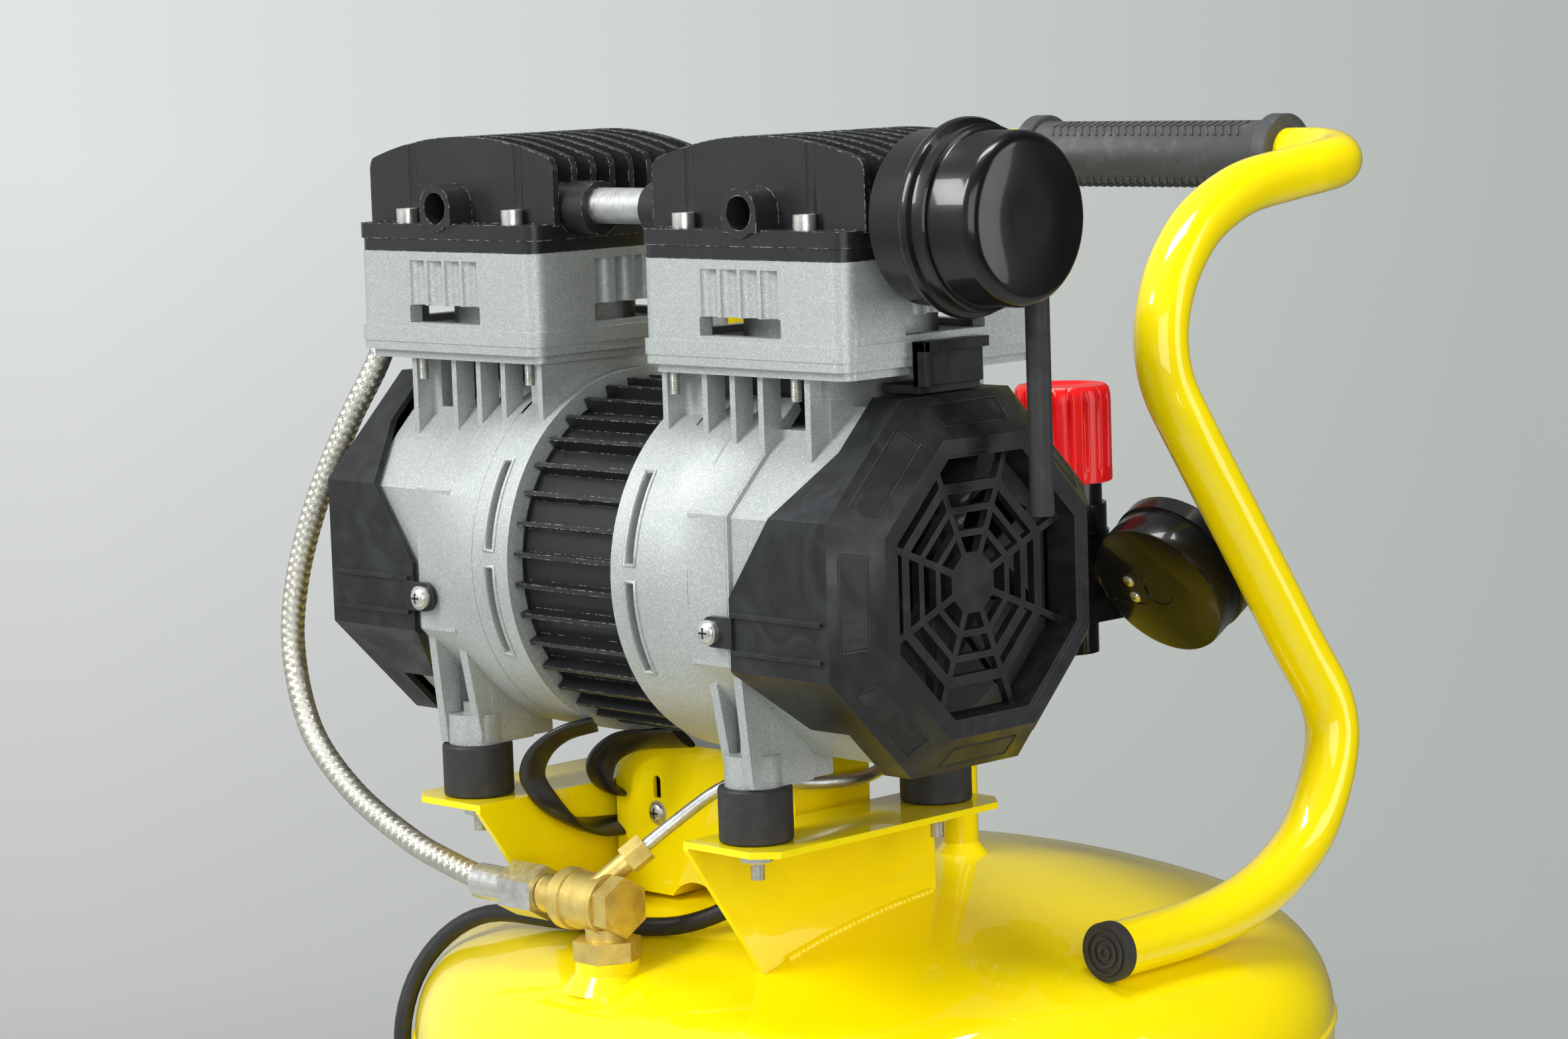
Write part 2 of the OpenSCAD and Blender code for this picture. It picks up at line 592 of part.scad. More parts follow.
module check_valve() color("goldenrod") pump() {
    translate([valve[0], valve[1], -70]) cylinder(r = 7.9, h = 12);
    translate([valve[0], valve[1], -63.4]) hex(27, 9);
    translate([valve[0], valve[1], -56]) cylinder(r = 9.5, h = 7);
    difference() {
        union() {
            along_x(-26, valve[1], valve[2]) cylinder(r = 13, h = 28);
            along_x(-39, valve[1], valve[2]) cylinder(r = 8.2, h = 14);
            along_x(2, valve[1], valve[2]) cylinder(r = 14.2, h = 2.2);
            along_x(4.2, valve[1], valve[2]) hex(24, 9);
            unloader_port();
        }
        along_x(-45, valve[1], valve[2]) cylinder(r = 4, h = 40);
    }
}
module unloader_port() translate([-4, -66, -32]) rotate([0, 53.5, 55.6]) {
    cylinder(r = 5, h = 30);
    translate([0, 0, 19]) hex(12, 11);
}
module unloader_tube() color("#b9bcc0") pump()
    sweep(smooth(unloader_route, 3), 3, 3, 10);

// ---- Electrics ----

module electrics_cover() color("gold") pump() difference() {
    translate([0, 50, 0]) rotate([90, 0, 0]) linear_extrude(48) cover_outline(0);
    translate([0, 52, 0]) rotate([90, 0, 0]) linear_extrude(48) cover_outline(1.6);
    translate([-34, 6, 3]) rotate([90, 0, 0]) cylinder(r = 2.4, h = 10);
    translate([-36.4, -2, -5]) cube([4.8, 8, 8]);
    translate([-70, 4, -31]) cube([12, 28, 37]);
    translate([38, -4, -42]) rotate([0, 84, 45]) cylinder(r = 7.7, h = 60, center = true);
    translate([0, -pump_y, -pump_z]) tank_solid();
}
module cover_outline(inset) difference() {
    union() {
        translate([-38, -2]) circle(24 - inset);
        translate([-62 + inset, -50 + inset]) square([118 - 2 * inset, 48 - inset]);
        translate([-38, -10]) square([94 - inset, 32 - inset]);
    }
    translate([-10, -62]) circle(20 + inset);
}
module run_capacitor() color("#26262a") pump() along_x(-50, 28, -8) {
    cylinder(r = 19, h = 92);
    translate([0, 0, 92]) cylinder(r = 15, h = 6);
}
module wire_sleeves() color("#1a1a1c") pump() {
    sweep(smooth(sleeve_front, 3), 7, 1.9, 12, [0, 1, 0]);
    sweep(smooth(sleeve_back, 3), 6.5, 1.9, 12, [0, 1, 0]);
}

// ---- Controls ----

module manifold() color("goldenrod") pump() {
    translate([riser[0], riser[1], 62]) cylinder(r = 11, h = 8);
    translate([riser[0] - 13, riser[1] - 13, 68]) cube([26, 26, 26]);
    along_x(-96, riser[1], port_z) cylinder(r = 7, h = 120);
    along_x(switch_xy[0] - 11, riser[1], port_z) translate([-9, -9, 0]) cube([18, 18, 22]);
    translate([switch_xy[0], switch_xy[1], 86]) cylinder(r = 8, h = 9);
    along_x(tank_gauge[0] - 8, riser[1], port_z) translate([-8, -8, 0]) cube([16, 16, 16]);
    along_y(tank_gauge[0], riser[1] + 7, port_z) cylinder(r = 5, h = 9);
    translate([safety_x, riser[1], 86]) cylinder(r = 6, h = 8);
    along_y(riser[0], riser[1] + 10, port_z) cylinder(r = 8, h = reg_y - riser[1] - 33);
}
module switch_base() color("#2a2a2d") pump() translate([switch_xy[0], switch_xy[1], 95])
    round_box(66, 52, 18, 5);
module switch_cover() color("#1b1b1e") pump() translate([switch_xy[0], switch_xy[1], 113]) difference() {
    union() {
        round_box(66, 52, 44, 6);
        translate([0, 0, 44]) round_box(54, 40, 8, 8);
    }
    translate([0, 0, -1]) round_box(60, 46, 43, 4);
    translate([0, 0, 30]) cylinder(r = 5.1, h = 40);
}
module switch_knob() color("#c5161d") pump() translate([switch_xy[0], switch_xy[1], 165.3]) {
    translate([0, 0, -20]) cylinder(r = 5, h = 20);
    cylinder(r = 15, h = 7);
    translate([-14, -3.5, 7]) cube([28, 7, 9]);
}
module regulator_body() color("#161618") pump() translate([reg_x, reg_y, 0]) difference() {
    union() {
        translate([0, 0, 44]) cylinder(r = 15, h = 16);
        translate([-22, -23, 60]) cube([44, 46, 38]);
        translate([0, 0, 98]) cylinder(r = 21, h = 5);
        translate([0, 0, 103]) cylinder(r = 20, h = 13);
        translate([0, 0, 116]) cylinder(r = 18, h = 10);
    }
    translate([0, 0, 110]) cylinder(r = 5.1, h = 20);
}
module regulator_knob() color("#d3141c") pump() translate([reg_x, reg_y, 126.4]) {
    translate([0, 0, -14]) cylinder(r = 5, h = 20);
    difference() {
        cylinder(r = 23.2, h = 46);
        for (k = [0 : 17]) rotate(20 * k) translate([24.8, 0, 8]) cylinder(r = 3.1, h = 34, $fn = 24);
    }
}
// A gauge looks along its own +Z; its stem leaves along its own -X.
module gauge_case() {
    difference() {
        union() {
            cylinder(r = gauge_r, h = 18);
            translate([0, 0, 18]) cylinder(r = gauge_r + 0.8, h = 9);
        }
        translate([0, 0, 6]) cylinder(r = gauge_r - 2, h = 24);
    }
    translate([0, 0, 5.9]) pipe(gauge_r - 2, 2.06, 6.1);
    translate([-gauge_r - 2.8, 0, 9]) rotate([0, 90, 0]) cylinder(r = 6, h = 4);
}
module gauge_lens() translate([0, 0, 22]) cylinder(r = gauge_r - 2, h = 2.5);
module needle() {
    translate([0, 0, 7]) cylinder(r = 2, h = 9.5);
    translate([-9, -1, 14]) cube([36, 2, 1]);
}
module outlet_gauge() translate([gauge_x, reg_y - 4, port_z - 2])
    rotate([gauge_tilt - 90, 0, 0]) children();
module rear_gauge() translate([tank_gauge[0], riser[1] + 16, port_z])
    rotate([-90, 0, 0]) children();
module gauge_cases() color("#141416") pump() {
    outlet_gauge() gauge_case();
    rear_gauge() small_case();
}
module small_case() {
    difference() {
        cylinder(r = 25, h = 26);
        translate([0, 0, 6]) cylinder(r = 23, h = 24);
    }
    translate([0, 0, 5.9]) pipe(23, 2.06, 6.1);
}
module gauge_lenses() color([0.8, 0.9, 0.95, 0.4]) pump() {
    outlet_gauge() gauge_lens();
    rear_gauge() translate([0, 0, 22]) cylinder(r = 23, h = 2.5);
}
module needle_outlet() color("red") pump() outlet_gauge() rotate(225) needle();
module needle_tank() color("red") pump() rear_gauge() rotate(225) small_needle();
module small_needle() {
    translate([0, 0, 7]) cylinder(r = 2, h = 9.5);
    translate([-7, -0.8, 14]) cube([24, 1.6, 1]);
}
module coupler_body() color("goldenrod") pump() along_y(reg_x, reg_y + 23, port_z) {
    hex(19, 10);
    difference() {
        cylinder(r = 7.5, h = 42);
        translate([0, 0, 16]) cylinder(r = 5.2, h = 30);
    }
}
module coupler_sleeve() color("silver") pump() along_y(reg_x, reg_y + 23, port_z) translate([0, 0, 16]) {
    pipe(12, 7.58, 22);
    translate([0, 0, 4]) pipe(13, 7.58, 3);
}
module safety_valve() color("goldenrod") pump() translate([safety_x, riser[1], 94]) difference() {
    union() {
        hex(14, 8);
        cylinder(r = 6, h = 24);
    }
    translate([0, 0, 10]) cylinder(r = 2.05, h = 20);
}
module safety_ring() color("silver") pump() translate([safety_x, riser[1], 105]) {
    cylinder(r = 2, h = 22);
    translate([0, 0, 13.4]) cylinder(r = 4, h = 2);
    translate([0, 1.2, 31]) rotate([90, 0, 0]) pipe(10, 7.6, 2.4);
}

// ---- Power cord ----

module cord_gland() color("#1a1a1c") pump() translate([38, -4, -42]) rotate([0, 84, 45]) {
    pipe(7.5, cord_r, 16);
    translate([0, 0, 6]) pipe(10, cord_r, 3);
}
module power_cord() color("#141416") pump() {
    sweep(smooth(cord_route, 3), cord_r, cord_r, 8);
    sweep(smooth(plug_route, 3), cord_r, cord_r, 8);
}
module cord_coil() color("#141416") pump() translate([coil_centre[0], coil_centre[1], floor_z])
    rotate_extrude() translate([coil_r - 3 * cord_r, 0]) square([6 * cord_r, 4 * cord_r]);
module plug() color("#141416") pump() translate([-244.2, 49, floor_z]) {
    translate([0, 0, 13]) rotate([-90, 0, 0]) cylinder(r1 = 6, r2 = 9, h = 16);
    translate([0, 16, 18]) rotate([-90, 0, 0]) cylinder(r = 18, h = 30);
    for (x = [-9.5, 9.5]) translate([x, 46, 18]) rotate([-90, 0, 0]) cylinder(r = 2.4, h = 19);
}

tank();
bracket_left();
bracket_right();
rubber_mounts();
mount_hardware();
handle_tube();
handle_grip();
handle_caps();
axle();
front_feet();
stator_housing();
stator_core();
crankcase_left();
crankcase_right();
cylinder_housing_left();
cylinder_housing_right();
cylinder_liners();
piston_rods();
valve_plates();
head_left();
head_right();
casing_screws();
crossover_tube();
bearings();
fan_cover_left();
fan_cover_right();
air_guides();
filter_housing();
intake_tube();
hose_fittings();
delivery_hose();
check_valve();
unloader_tube();
electrics_cover();
run_capacitor();
wire_sleeves();
manifold();
switch_base();
switch_cover();
regulator_body();
gauge_cases();
gauge_lenses();
coupler_body();
safety_valve();
drain_body();
cord_gland();
power_cord();
cord_coil();
plug();
rotor();
fans();
regulator_knob();
needle_outlet();
needle_tank();
switch_knob();
coupler_sleeve();
safety_ring();
drain_lever();
wheel_left();
wheel_right();
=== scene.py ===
"""Looks for a wheeled air compressor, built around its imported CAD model. Metres, +Z up."""

import json
import math

import bmesh
import bpy
from mathutils import Matrix, Vector


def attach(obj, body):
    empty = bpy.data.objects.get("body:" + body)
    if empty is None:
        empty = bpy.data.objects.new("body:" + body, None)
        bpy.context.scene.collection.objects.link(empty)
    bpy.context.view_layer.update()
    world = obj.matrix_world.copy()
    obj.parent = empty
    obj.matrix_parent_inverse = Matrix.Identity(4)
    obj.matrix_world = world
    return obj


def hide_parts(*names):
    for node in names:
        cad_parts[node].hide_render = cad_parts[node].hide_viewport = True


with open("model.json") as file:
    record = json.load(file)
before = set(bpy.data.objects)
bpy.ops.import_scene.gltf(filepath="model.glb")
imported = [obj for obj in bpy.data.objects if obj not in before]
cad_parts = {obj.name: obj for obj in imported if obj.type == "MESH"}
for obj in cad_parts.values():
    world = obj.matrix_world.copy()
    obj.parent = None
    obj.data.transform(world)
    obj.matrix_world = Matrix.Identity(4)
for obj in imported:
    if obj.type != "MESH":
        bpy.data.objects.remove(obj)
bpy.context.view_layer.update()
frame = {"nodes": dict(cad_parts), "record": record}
nodes = frame["nodes"]
scene = bpy.context.scene
MM = 0.001
PUMP = Vector((0.0, -117.3, 520.0))   # where the pump's own frame starts, in millimetres
SHARP_ANGLE = 32.0                    # edges that turn by more degrees are sharp and get rounded


def at(x, y, z):
    """A point of the pump's own frame, in millimetres, as metres in the object's frame."""
    return (Vector((x, y, z)) + PUMP) * MM


# ---- Camera ----
CAMERA_AT = Vector((1.3339, -1.3723, 0.8705))
AZIMUTH, ELEVATION, ROLL = (math.radians(v) for v in (45.49, 7.01, -1.90))
LENS, SENSOR = 93.97, 36.0


def make_camera():
    right = Vector((math.cos(AZIMUTH), math.sin(AZIMUTH), 0.0))
    back = Vector((math.sin(AZIMUTH) * math.cos(ELEVATION), -math.cos(AZIMUTH) * math.cos(ELEVATION),
                   math.sin(ELEVATION)))
    up = back.cross(right)
    side = math.cos(ROLL) * right + math.sin(ROLL) * up
    top = -math.sin(ROLL) * right + math.cos(ROLL) * up
    data = bpy.data.cameras.new("camera")
    data.lens, data.sensor_width = LENS, SENSOR
    data.clip_start, data.clip_end = 0.05, 60.0
    cam = bpy.data.objects.new("camera", data)
    scene.collection.objects.link(cam)
    rot = Matrix((side, top, back)).transposed()
    cam.matrix_world = Matrix.Translation(CAMERA_AT) @ rot.to_4x4()
    scene.camera = cam
    return right, back


view_right, view_back = make_camera()
scene.view_settings.view_transform = "Standard"


# ---- Mesh helpers ----
def add_mesh(name, verts, faces, smooth=35.0):
    me = bpy.data.meshes.new(name)
    me.from_pydata([tuple(v) for v in verts], [], faces)
    me.validate()
    me.update()
    me.shade_smooth()
    me.set_sharp_from_angle(angle=math.radians(smooth))
    obj = bpy.data.objects.new(name, me)
    scene.collection.objects.link(obj)
    return obj


def catmull(points, spans):
    p = [Vector(q) for q in points]
    out = []
    for i in range(len(p) - 1):
        a, b, c, d = p[max(i - 1, 0)], p[i], p[i + 1], p[min(i + 2, len(p) - 1)]
        for k in range(spans):
            t = k / spans
            out.append(0.5 * (2 * b + (c - a) * t + (2 * a - 5 * b + 4 * c - d) * t * t
                              + (3 * b - a - 3 * c + d) * t ** 3))
    out.append(p[-1])
    return out


def frames_along(path, seed=(0, 0, 1)):
    """Heading, side and up at each point, carried along so that they never twist."""
    out = []
    side = Vector(seed)
    for i in range(len(path)):
        t = (path[min(i + 1, len(path) - 1)] - path[max(i - 1, 0)]).normalized()
        side = (side - side.dot(t) * t).normalized()
        out.append((t, side.copy(), t.cross(side)))
    return out


def ring_faces(rows, sides):
    """Quads between neighbouring rings of points that were added one ring after another."""
    return [(i * sides + k, i * sides + j, (i + 1) * sides + j, (i + 1) * sides + k)
            for i in range(rows - 1) for k, j in zip(range(sides), [*range(1, sides), 0])]


def end_caps(rows, sides):
    return [tuple(range(sides - 1, -1, -1)), tuple((rows - 1) * sides + k for k in range(sides))]


def tube(name, path, radius, sides):
    """A capped tube along path; radius is a number or a function of the distance travelled."""
    verts, travelled = [], 0.0
    for i, (_, u, v) in enumerate(frames_along(path)):
        travelled += (path[i] - path[i - 1]).length if i else 0.0
        r = radius(travelled) if callable(radius) else radius
        for k in range(sides):
            w = 2 * math.pi * k / sides
            verts.append(path[i] + r * math.cos(w) * u + r * math.sin(w) * v)
    return add_mesh(name, verts, ring_faces(len(path), sides) + end_caps(len(path), sides), 40.0)


def lathe(name, profile, place, sides=96, smooth=SHARP_ANGLE):
    """A closed solid of revolution: profile is (radius, height) in millimetres along local +Z."""
    verts, faces, rows = [], [], []
    for r, z in profile:
        if r < 1e-6:
            rows.append([len(verts)])
            verts.append(place @ Vector((0, 0, z * MM)))
            continue
        rows.append(list(range(len(verts), len(verts) + sides)))
        for k in range(sides):
            w = 2 * math.pi * k / sides
            verts.append(place @ Vector((r * MM * math.cos(w), r * MM * math.sin(w), z * MM)))
    for a, b in zip(rows, rows[1:]):
        if len(a) == 1 and len(b) == 1:
            continue
        for k in range(sides):
            j = (k + 1) % sides
            if len(a) == 1:
                faces.append((a[0], b[j], b[k]))
            elif len(b) == 1:
                faces.append((a[k], a[j], b[0]))
            else:
                faces.append((a[k], a[j], b[j], b[k]))
    return add_mesh(name, verts, faces, smooth)


def dress(node, material, bevel, body="frame", segments=2):
    """A copy of a CAD node with its edges rounded, standing in for the node."""
    me = nodes[node].data.copy()
    me.name = node + "_shell"
    me.materials.clear()
    bm = bmesh.new()
    bm.from_mesh(me)
    bmesh.ops.remove_doubles(bm, verts=bm.verts, dist=4e-6)
    bm.to_mesh(me)
    bm.free()
    me.shade_smooth()
    me.set_sharp_from_angle(angle=math.radians(SHARP_ANGLE))
    obj = bpy.data.objects.new(node + "_shell", me)
    scene.collection.objects.link(obj)
    mod = obj.modifiers.new("edges", "BEVEL")
    mod.width, mod.segments = bevel * MM, segments
    mod.limit_method, mod.angle_limit = "ANGLE", math.radians(SHARP_ANGLE)
    mod.use_clamp_overlap = True
    even_out = obj.modifiers.new("normals", "WEIGHTED_NORMAL")
    even_out.keep_sharp = True
    return finish_piece(obj, material, body, node)


ALONG_X = Matrix.Rotation(math.pi / 2, 4, "Y")   # lays a lathed shape along +X


def finish_piece(obj, material, body="frame", *replaced, slot=None):
    obj.data.materials.clear()
    obj.data.materials.append(material)
    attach(obj, body)
    if replaced:
        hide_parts(*replaced)
    if slot is None and replaced:
        slot = SLOT_OF[replaced[0]]
    return obj


SLOT_OF = {s["node"]: s["material_slot"] for s in frame["record"]["subparts"]}


# ---- Materials ----
class Finish:
    """Builds one procedural material. Noise sizes are in repeats per metre."""

    def __init__(self, name, color, rough, metallic=0.0, coat=0.0, coat_rough=0.05, ior=1.5):
        self.mat = bpy.data.materials.new(name)
        self.mat.use_nodes = True
        self.tree = self.mat.node_tree
        self.shader = self.tree.nodes["Principled BSDF"]
        s = self.shader.inputs
        s["Base Color"].default_value = (*color, 1)
        s["Roughness"].default_value = rough
        s["Metallic"].default_value = metallic
        s["Coat Weight"].default_value = coat
        s["Coat Roughness"].default_value = coat_rough
        s["IOR"].default_value = ior
        self.color, self.rough = color, rough
        self.coords = self.node("ShaderNodeTexCoord").outputs["Object"]
        self.color_out = None
        self.rough_out = None
        self.normal_out = None

    def node(self, kind, **values):
        n = self.tree.nodes.new(kind)
        for k, v in values.items():
            setattr(n, k, v)
        return n

    def link(self, a, b):
        self.tree.links.new(a, b)

    def noise(self, scale, detail=3.0, stretch=None, distort=0.0):
        n = self.node("ShaderNodeTexNoise")
        n.inputs["Scale"].default_value = scale
        n.inputs["Detail"].default_value = detail
        n.inputs["Roughness"].default_value = 0.55
        n.inputs["Distortion"].default_value = distort
        if stretch is None:
            self.link(self.coords, n.inputs["Vector"])
        else:
            m = self.node("ShaderNodeMapping")
            m.inputs["Scale"].default_value = stretch
            self.link(self.coords, m.inputs["Vector"])
            self.link(m.outputs["Vector"], n.inputs["Vector"])
        return n.outputs["Fac"]

    def cells(self, scale):
        """A different grey in each cell, for the grains of a casting."""
        n = self.node("ShaderNodeTexVoronoi")
        n.inputs["Scale"].default_value = scale
        self.link(self.coords, n.inputs["Vector"])
        return n.outputs["Color"]

    def spread(self, value, low, high, to_low=0.0, to_high=1.0):
        n = self.node("ShaderNodeMapRange")
        for k, v in zip(("From Min", "From Max", "To Min", "To Max"), (low, high, to_low, to_high)):
            n.inputs[k].default_value = v
        self.link(value, n.inputs["Value"])
        return n.outputs["Result"]

    def tint(self, mask, color):
        """Mixes color over what is there where mask is 1."""
        n = self.node("ShaderNodeMix", data_type="RGBA")
        n.inputs[6].default_value = (*self.color, 1)
        n.inputs[7].default_value = (*color, 1)
        if self.color_out is not None:
            self.link(self.color_out, n.inputs[6])
        self.link(mask, n.inputs[0])
        self.color_out = n.outputs[2]

    def gloss(self, mask, rough):
        """Mixes roughness over what is there where mask is 1."""
        n = self.node("ShaderNodeMix", data_type="FLOAT")
        n.inputs[2].default_value = self.rough
        n.inputs[3].default_value = rough
        if self.rough_out is not None:
            self.link(self.rough_out, n.inputs[2])
        self.link(mask, n.inputs[0])
        self.rough_out = n.outputs[0]

    def bump(self, height, strength, distance):
        n = self.node("ShaderNodeBump")
        n.inputs["Strength"].default_value = strength
        n.inputs["Distance"].default_value = distance * MM
        self.link(height, n.inputs["Height"])
        if self.normal_out is not None:
            self.link(self.normal_out, n.inputs["Normal"])
        self.normal_out = n.outputs["Normal"]

    def edges(self, radius):
        """1 near convex and concave edges within radius millimetres, 0 on flats."""
        b = self.node("ShaderNodeBevel", samples=4)
        b.inputs["Radius"].default_value = radius * MM
        g = self.node("ShaderNodeNewGeometry")
        d = self.node("ShaderNodeVectorMath", operation="DOT_PRODUCT")
        self.link(b.outputs["Normal"], d.inputs[0])
        self.link(g.outputs["Normal"], d.inputs[1])
        return self.spread(d.outputs["Value"], 0.97, 0.80)

    def times(self, a, b):
        n = self.node("ShaderNodeMath", operation="MULTIPLY")
        self.link(a, n.inputs[0])
        if isinstance(b, float):
            n.inputs[1].default_value = b
        else:
            self.link(b, n.inputs[1])
        return n.outputs["Value"]

    def done(self):
        s = self.shader.inputs
        for out, key in ((self.color_out, "Base Color"), (self.rough_out, "Roughness"),
                         (self.normal_out, "Normal")):
            if out is not None:
                self.link(out, s[key])
        if self.normal_out is not None and s["Coat Weight"].default_value > 0:
            self.link(self.normal_out, s["Coat Normal"])
        return self.mat


def scaled(color, f):
    return tuple(min(1.0, c * f) for c in color)


def yellow_paint():
    f = Finish("yellow_paint", (0.93, 0.73, 0.0), 0.34, coat=0.9, coat_rough=0.03, ior=1.20)
    f.tint(f.spread(f.noise(9.0), 0.35, 0.7, 0.0, 0.35), (0.98, 0.79, 0.0))
    f.tint(f.spread(f.noise(60.0, 5.0), 0.58, 0.75, 0.0, 0.18), (0.90, 0.66, 0.0))
    f.gloss(f.spread(f.noise(35.0, 4.0), 0.35, 0.75), 0.30)
    f.bump(f.noise(230.0, 2.0), 0.05, 0.25)
    f.bump(f.noise(24.0, 1.0), 0.06, 1.2)
    return f.done()


def cast_silver():
    f = Finish("cast_silver", (0.40, 0.43, 0.42), 0.44, metallic=0.5)
    f.tint(f.spread(f.noise(16.0, 4.0), 0.35, 0.7, 0.0, 0.5), (0.34, 0.37, 0.365))
    f.tint(f.spread(f.cells(2600.0), 0.55, 0.95, 0.0, 0.75), (0.70, 0.72, 0.71))
    f.tint(f.spread(f.noise(1900.0, 2.0), 0.56, 0.72, 0.0, 0.5), (0.27, 0.29, 0.29))
    f.gloss(f.spread(f.noise(700.0, 2.0), 0.4, 0.7), 0.6)
    f.bump(f.noise(1500.0, 3.0), 0.22, 0.12)
    f.bump(f.noise(120.0, 3.0), 0.10, 0.5)
    return f.done()


def black_casting():
    f = Finish("black_casting", (0.010, 0.0105, 0.012), 0.36, coat=0.20, coat_rough=0.20, ior=1.36)
    wear = f.times(f.edges(0.7), f.spread(f.noise(420.0, 4.0), 0.50, 0.60))
    f.tint(f.spread(f.noise(26.0, 4.0), 0.4, 0.7, 0.0, 0.6), (0.018, 0.019, 0.022))
    f.tint(f.spread(f.cells(900.0), 0.985, 0.998, 0.0, 0.8), (0.5, 0.52, 0.52))
    f.tint(f.times(wear, 0.8), (0.52, 0.55, 0.56))
    f.gloss(f.spread(f.noise(520.0, 3.0), 0.4, 0.7), 0.52)
    f.bump(f.noise(900.0, 3.0), 0.28, 0.16)
    f.bump(f.noise(110.0, 3.0), 0.12, 0.5)
    return f.done()


def charcoal_plastic():
    f = Finish("charcoal_plastic", (0.009, 0.0098, 0.011), 0.32, ior=1.38)
    f.tint(f.spread(f.noise(42.0, 5.0, distort=1.5), 0.42, 0.68, 0.0, 0.7), (0.026, 0.029, 0.032))
    f.gloss(f.spread(f.noise(30.0, 4.0, distort=1.0), 0.4, 0.65), 0.55)
    # Painted highlight: every edge, convex and concave, is lightened.
    f.tint(f.times(f.edges(0.5), 0.35), (0.14, 0.15, 0.155))
    f.bump(f.noise(1700.0, 2.0), 0.10, 0.08)
    return f.done()


def black_plastic():
    f = Finish("black_plastic", (0.004, 0.004, 0.0045), 0.24, coat=0.35, coat_rough=0.05, ior=1.30)
    f.tint(f.spread(f.noise(60.0, 5.0), 0.45, 0.7, 0.0, 0.5), (0.009, 0.0095, 0.0105))
    f.gloss(f.spread(f.noise(25.0, 4.0), 0.4, 0.7), 0.34)
    f.bump(f.noise(1300.0, 2.0), 0.08, 0.07)
    return f.done()


def soft_rubber(name="black_rubber", color=(0.016, 0.016, 0.017), rough=0.55):
    f = Finish(name, color, rough)
    f.tint(f.spread(f.noise(130.0, 5.0), 0.5, 0.72, 0.0, 0.6), scaled(color, 2.1))
    f.gloss(f.spread(f.noise(60.0, 4.0), 0.4, 0.7), rough + 0.14)
    f.bump(f.noise(1600.0, 2.0), 0.12, 0.08)
    return f.done()


def bright_steel(name="zinc", color=(0.66, 0.66, 0.63), rough=0.26, grain=(1.0, 1.0, 1.0)):
    f = Finish(name, color, rough, metallic=0.95)
    f.tint(f.spread(f.noise(190.0, 4.0), 0.45, 0.75, 0.0, 0.55), scaled(color, 0.62))
    f.gloss(f.spread(f.noise(300.0, 4.0, stretch=grain), 0.35, 0.7), rough + 0.2)
    f.bump(f.noise(1200.0, 2.0, stretch=grain), 0.10, 0.06)
    return f.done()


def machined_brass():
    f = Finish("brass", (0.70, 0.54, 0.16), 0.40, metallic=0.75)
    f.tint(f.spread(f.noise(130.0, 5.0), 0.42, 0.72, 0.0, 0.6), (0.40, 0.27, 0.08))
    f.tint(f.spread(f.noise(420.0, 3.0), 0.6, 0.8, 0.0, 0.6), (0.82, 0.70, 0.40))
    f.gloss(f.spread(f.noise(260.0, 5.0), 0.35, 0.7), 0.52)
    f.bump(f.noise(620.0, 3.0), 0.16, 0.10)
    return f.done()


def red_plastic():
    f = Finish("red_plastic", (0.78, 0.006, 0.008), 0.30, coat=0.25, coat_rough=0.06, ior=1.30)
    f.tint(f.spread(f.noise(70.0, 4.0), 0.4, 0.7, 0.0, 0.5), (0.52, 0.008, 0.012))
    f.gloss(f.spread(f.noise(80.0, 4.0), 0.4, 0.7), 0.32)
    f.bump(f.noise(900.0, 2.0), 0.05, 0.06)
    return f.done()


def lens():
    f = Finish("clear_lens", (0.92, 0.96, 0.97), 0.04)
    f.shader.inputs["Transmission Weight"].default_value = 1.0
    f.gloss(f.spread(f.noise(90.0, 3.0), 0.5, 0.8), 0.12)
    return f.done()


def dark_iron():
    f = Finish("motor_iron", (0.11, 0.10, 0.095), 0.5, metallic=0.7)
    f.tint(f.spread(f.noise(150.0, 4.0), 0.4, 0.7, 0.0, 0.7), (0.20, 0.15, 0.11))
    f.bump(f.noise(500.0, 3.0), 0.2, 0.1)
    return f.done()


YELLOW = yellow_paint()
SILVER = cast_silver()
BLACK_CAST = black_casting()
CHARCOAL = charcoal_plastic()
BLACK_PLASTIC = black_plastic()
RUBBER = soft_rubber()
CORD = soft_rubber("cord_sheath", (0.012, 0.012, 0.013), 0.42)
GRIP = soft_rubber("grip_rubber", (0.045, 0.047, 0.050), 0.46)
ZINC = bright_steel()
TUBE_ALLOY = bright_steel("drawn_tube", (0.60, 0.61, 0.60), 0.34, (6.0, 1.0, 1.0))
BRAID = bright_steel("braid_wire", (0.60, 0.585, 0.52), 0.30)
BRASS = machined_brass()
RED = red_plastic()
LENS = lens()
IRON = dark_iron()

# ---- Power cord: out of the electrics cover, over the tank's shoulder, down, and coiled ----
CORD_D = 0.0084
CORD_ROUTE = [(38, -4, -42), (30, -12, -45), (18, -22, -51), (2, -29, -55), (-30, -34, -57.5),
    (-70, -33, -60.5), (-108, -32.4, -62.7), (-128.8, -36.1, -69.1), (-144, -42.1, -81.3),
    (-152.7, -49.3, -97.5), (-155.4, -55.4, -117), (-156, -56.5, -140), (-156, -56.5, -180),
    (-156, -56.5, -260), (-156, -56.5, -350), (-152.9, -58.8, -412.5), (-151.8, -60.9, -439.6),
    (-150.5, -61.4, -457.1), (-150.9, -60.9, -476), (-155.7, -60.5, -490.6),
    (-164.6, -60.2, -502.2), (-176.1, -59, -510.2), (-187.6, -57.5, -514.3), (-194, -56.6, -515.8)]
PLUG_ROUTE = [(-244.2, 2, -507.4), (-244.2, 18, -507.3), (-244.2, 34, -507.1), (-244.2, 49, -507)]
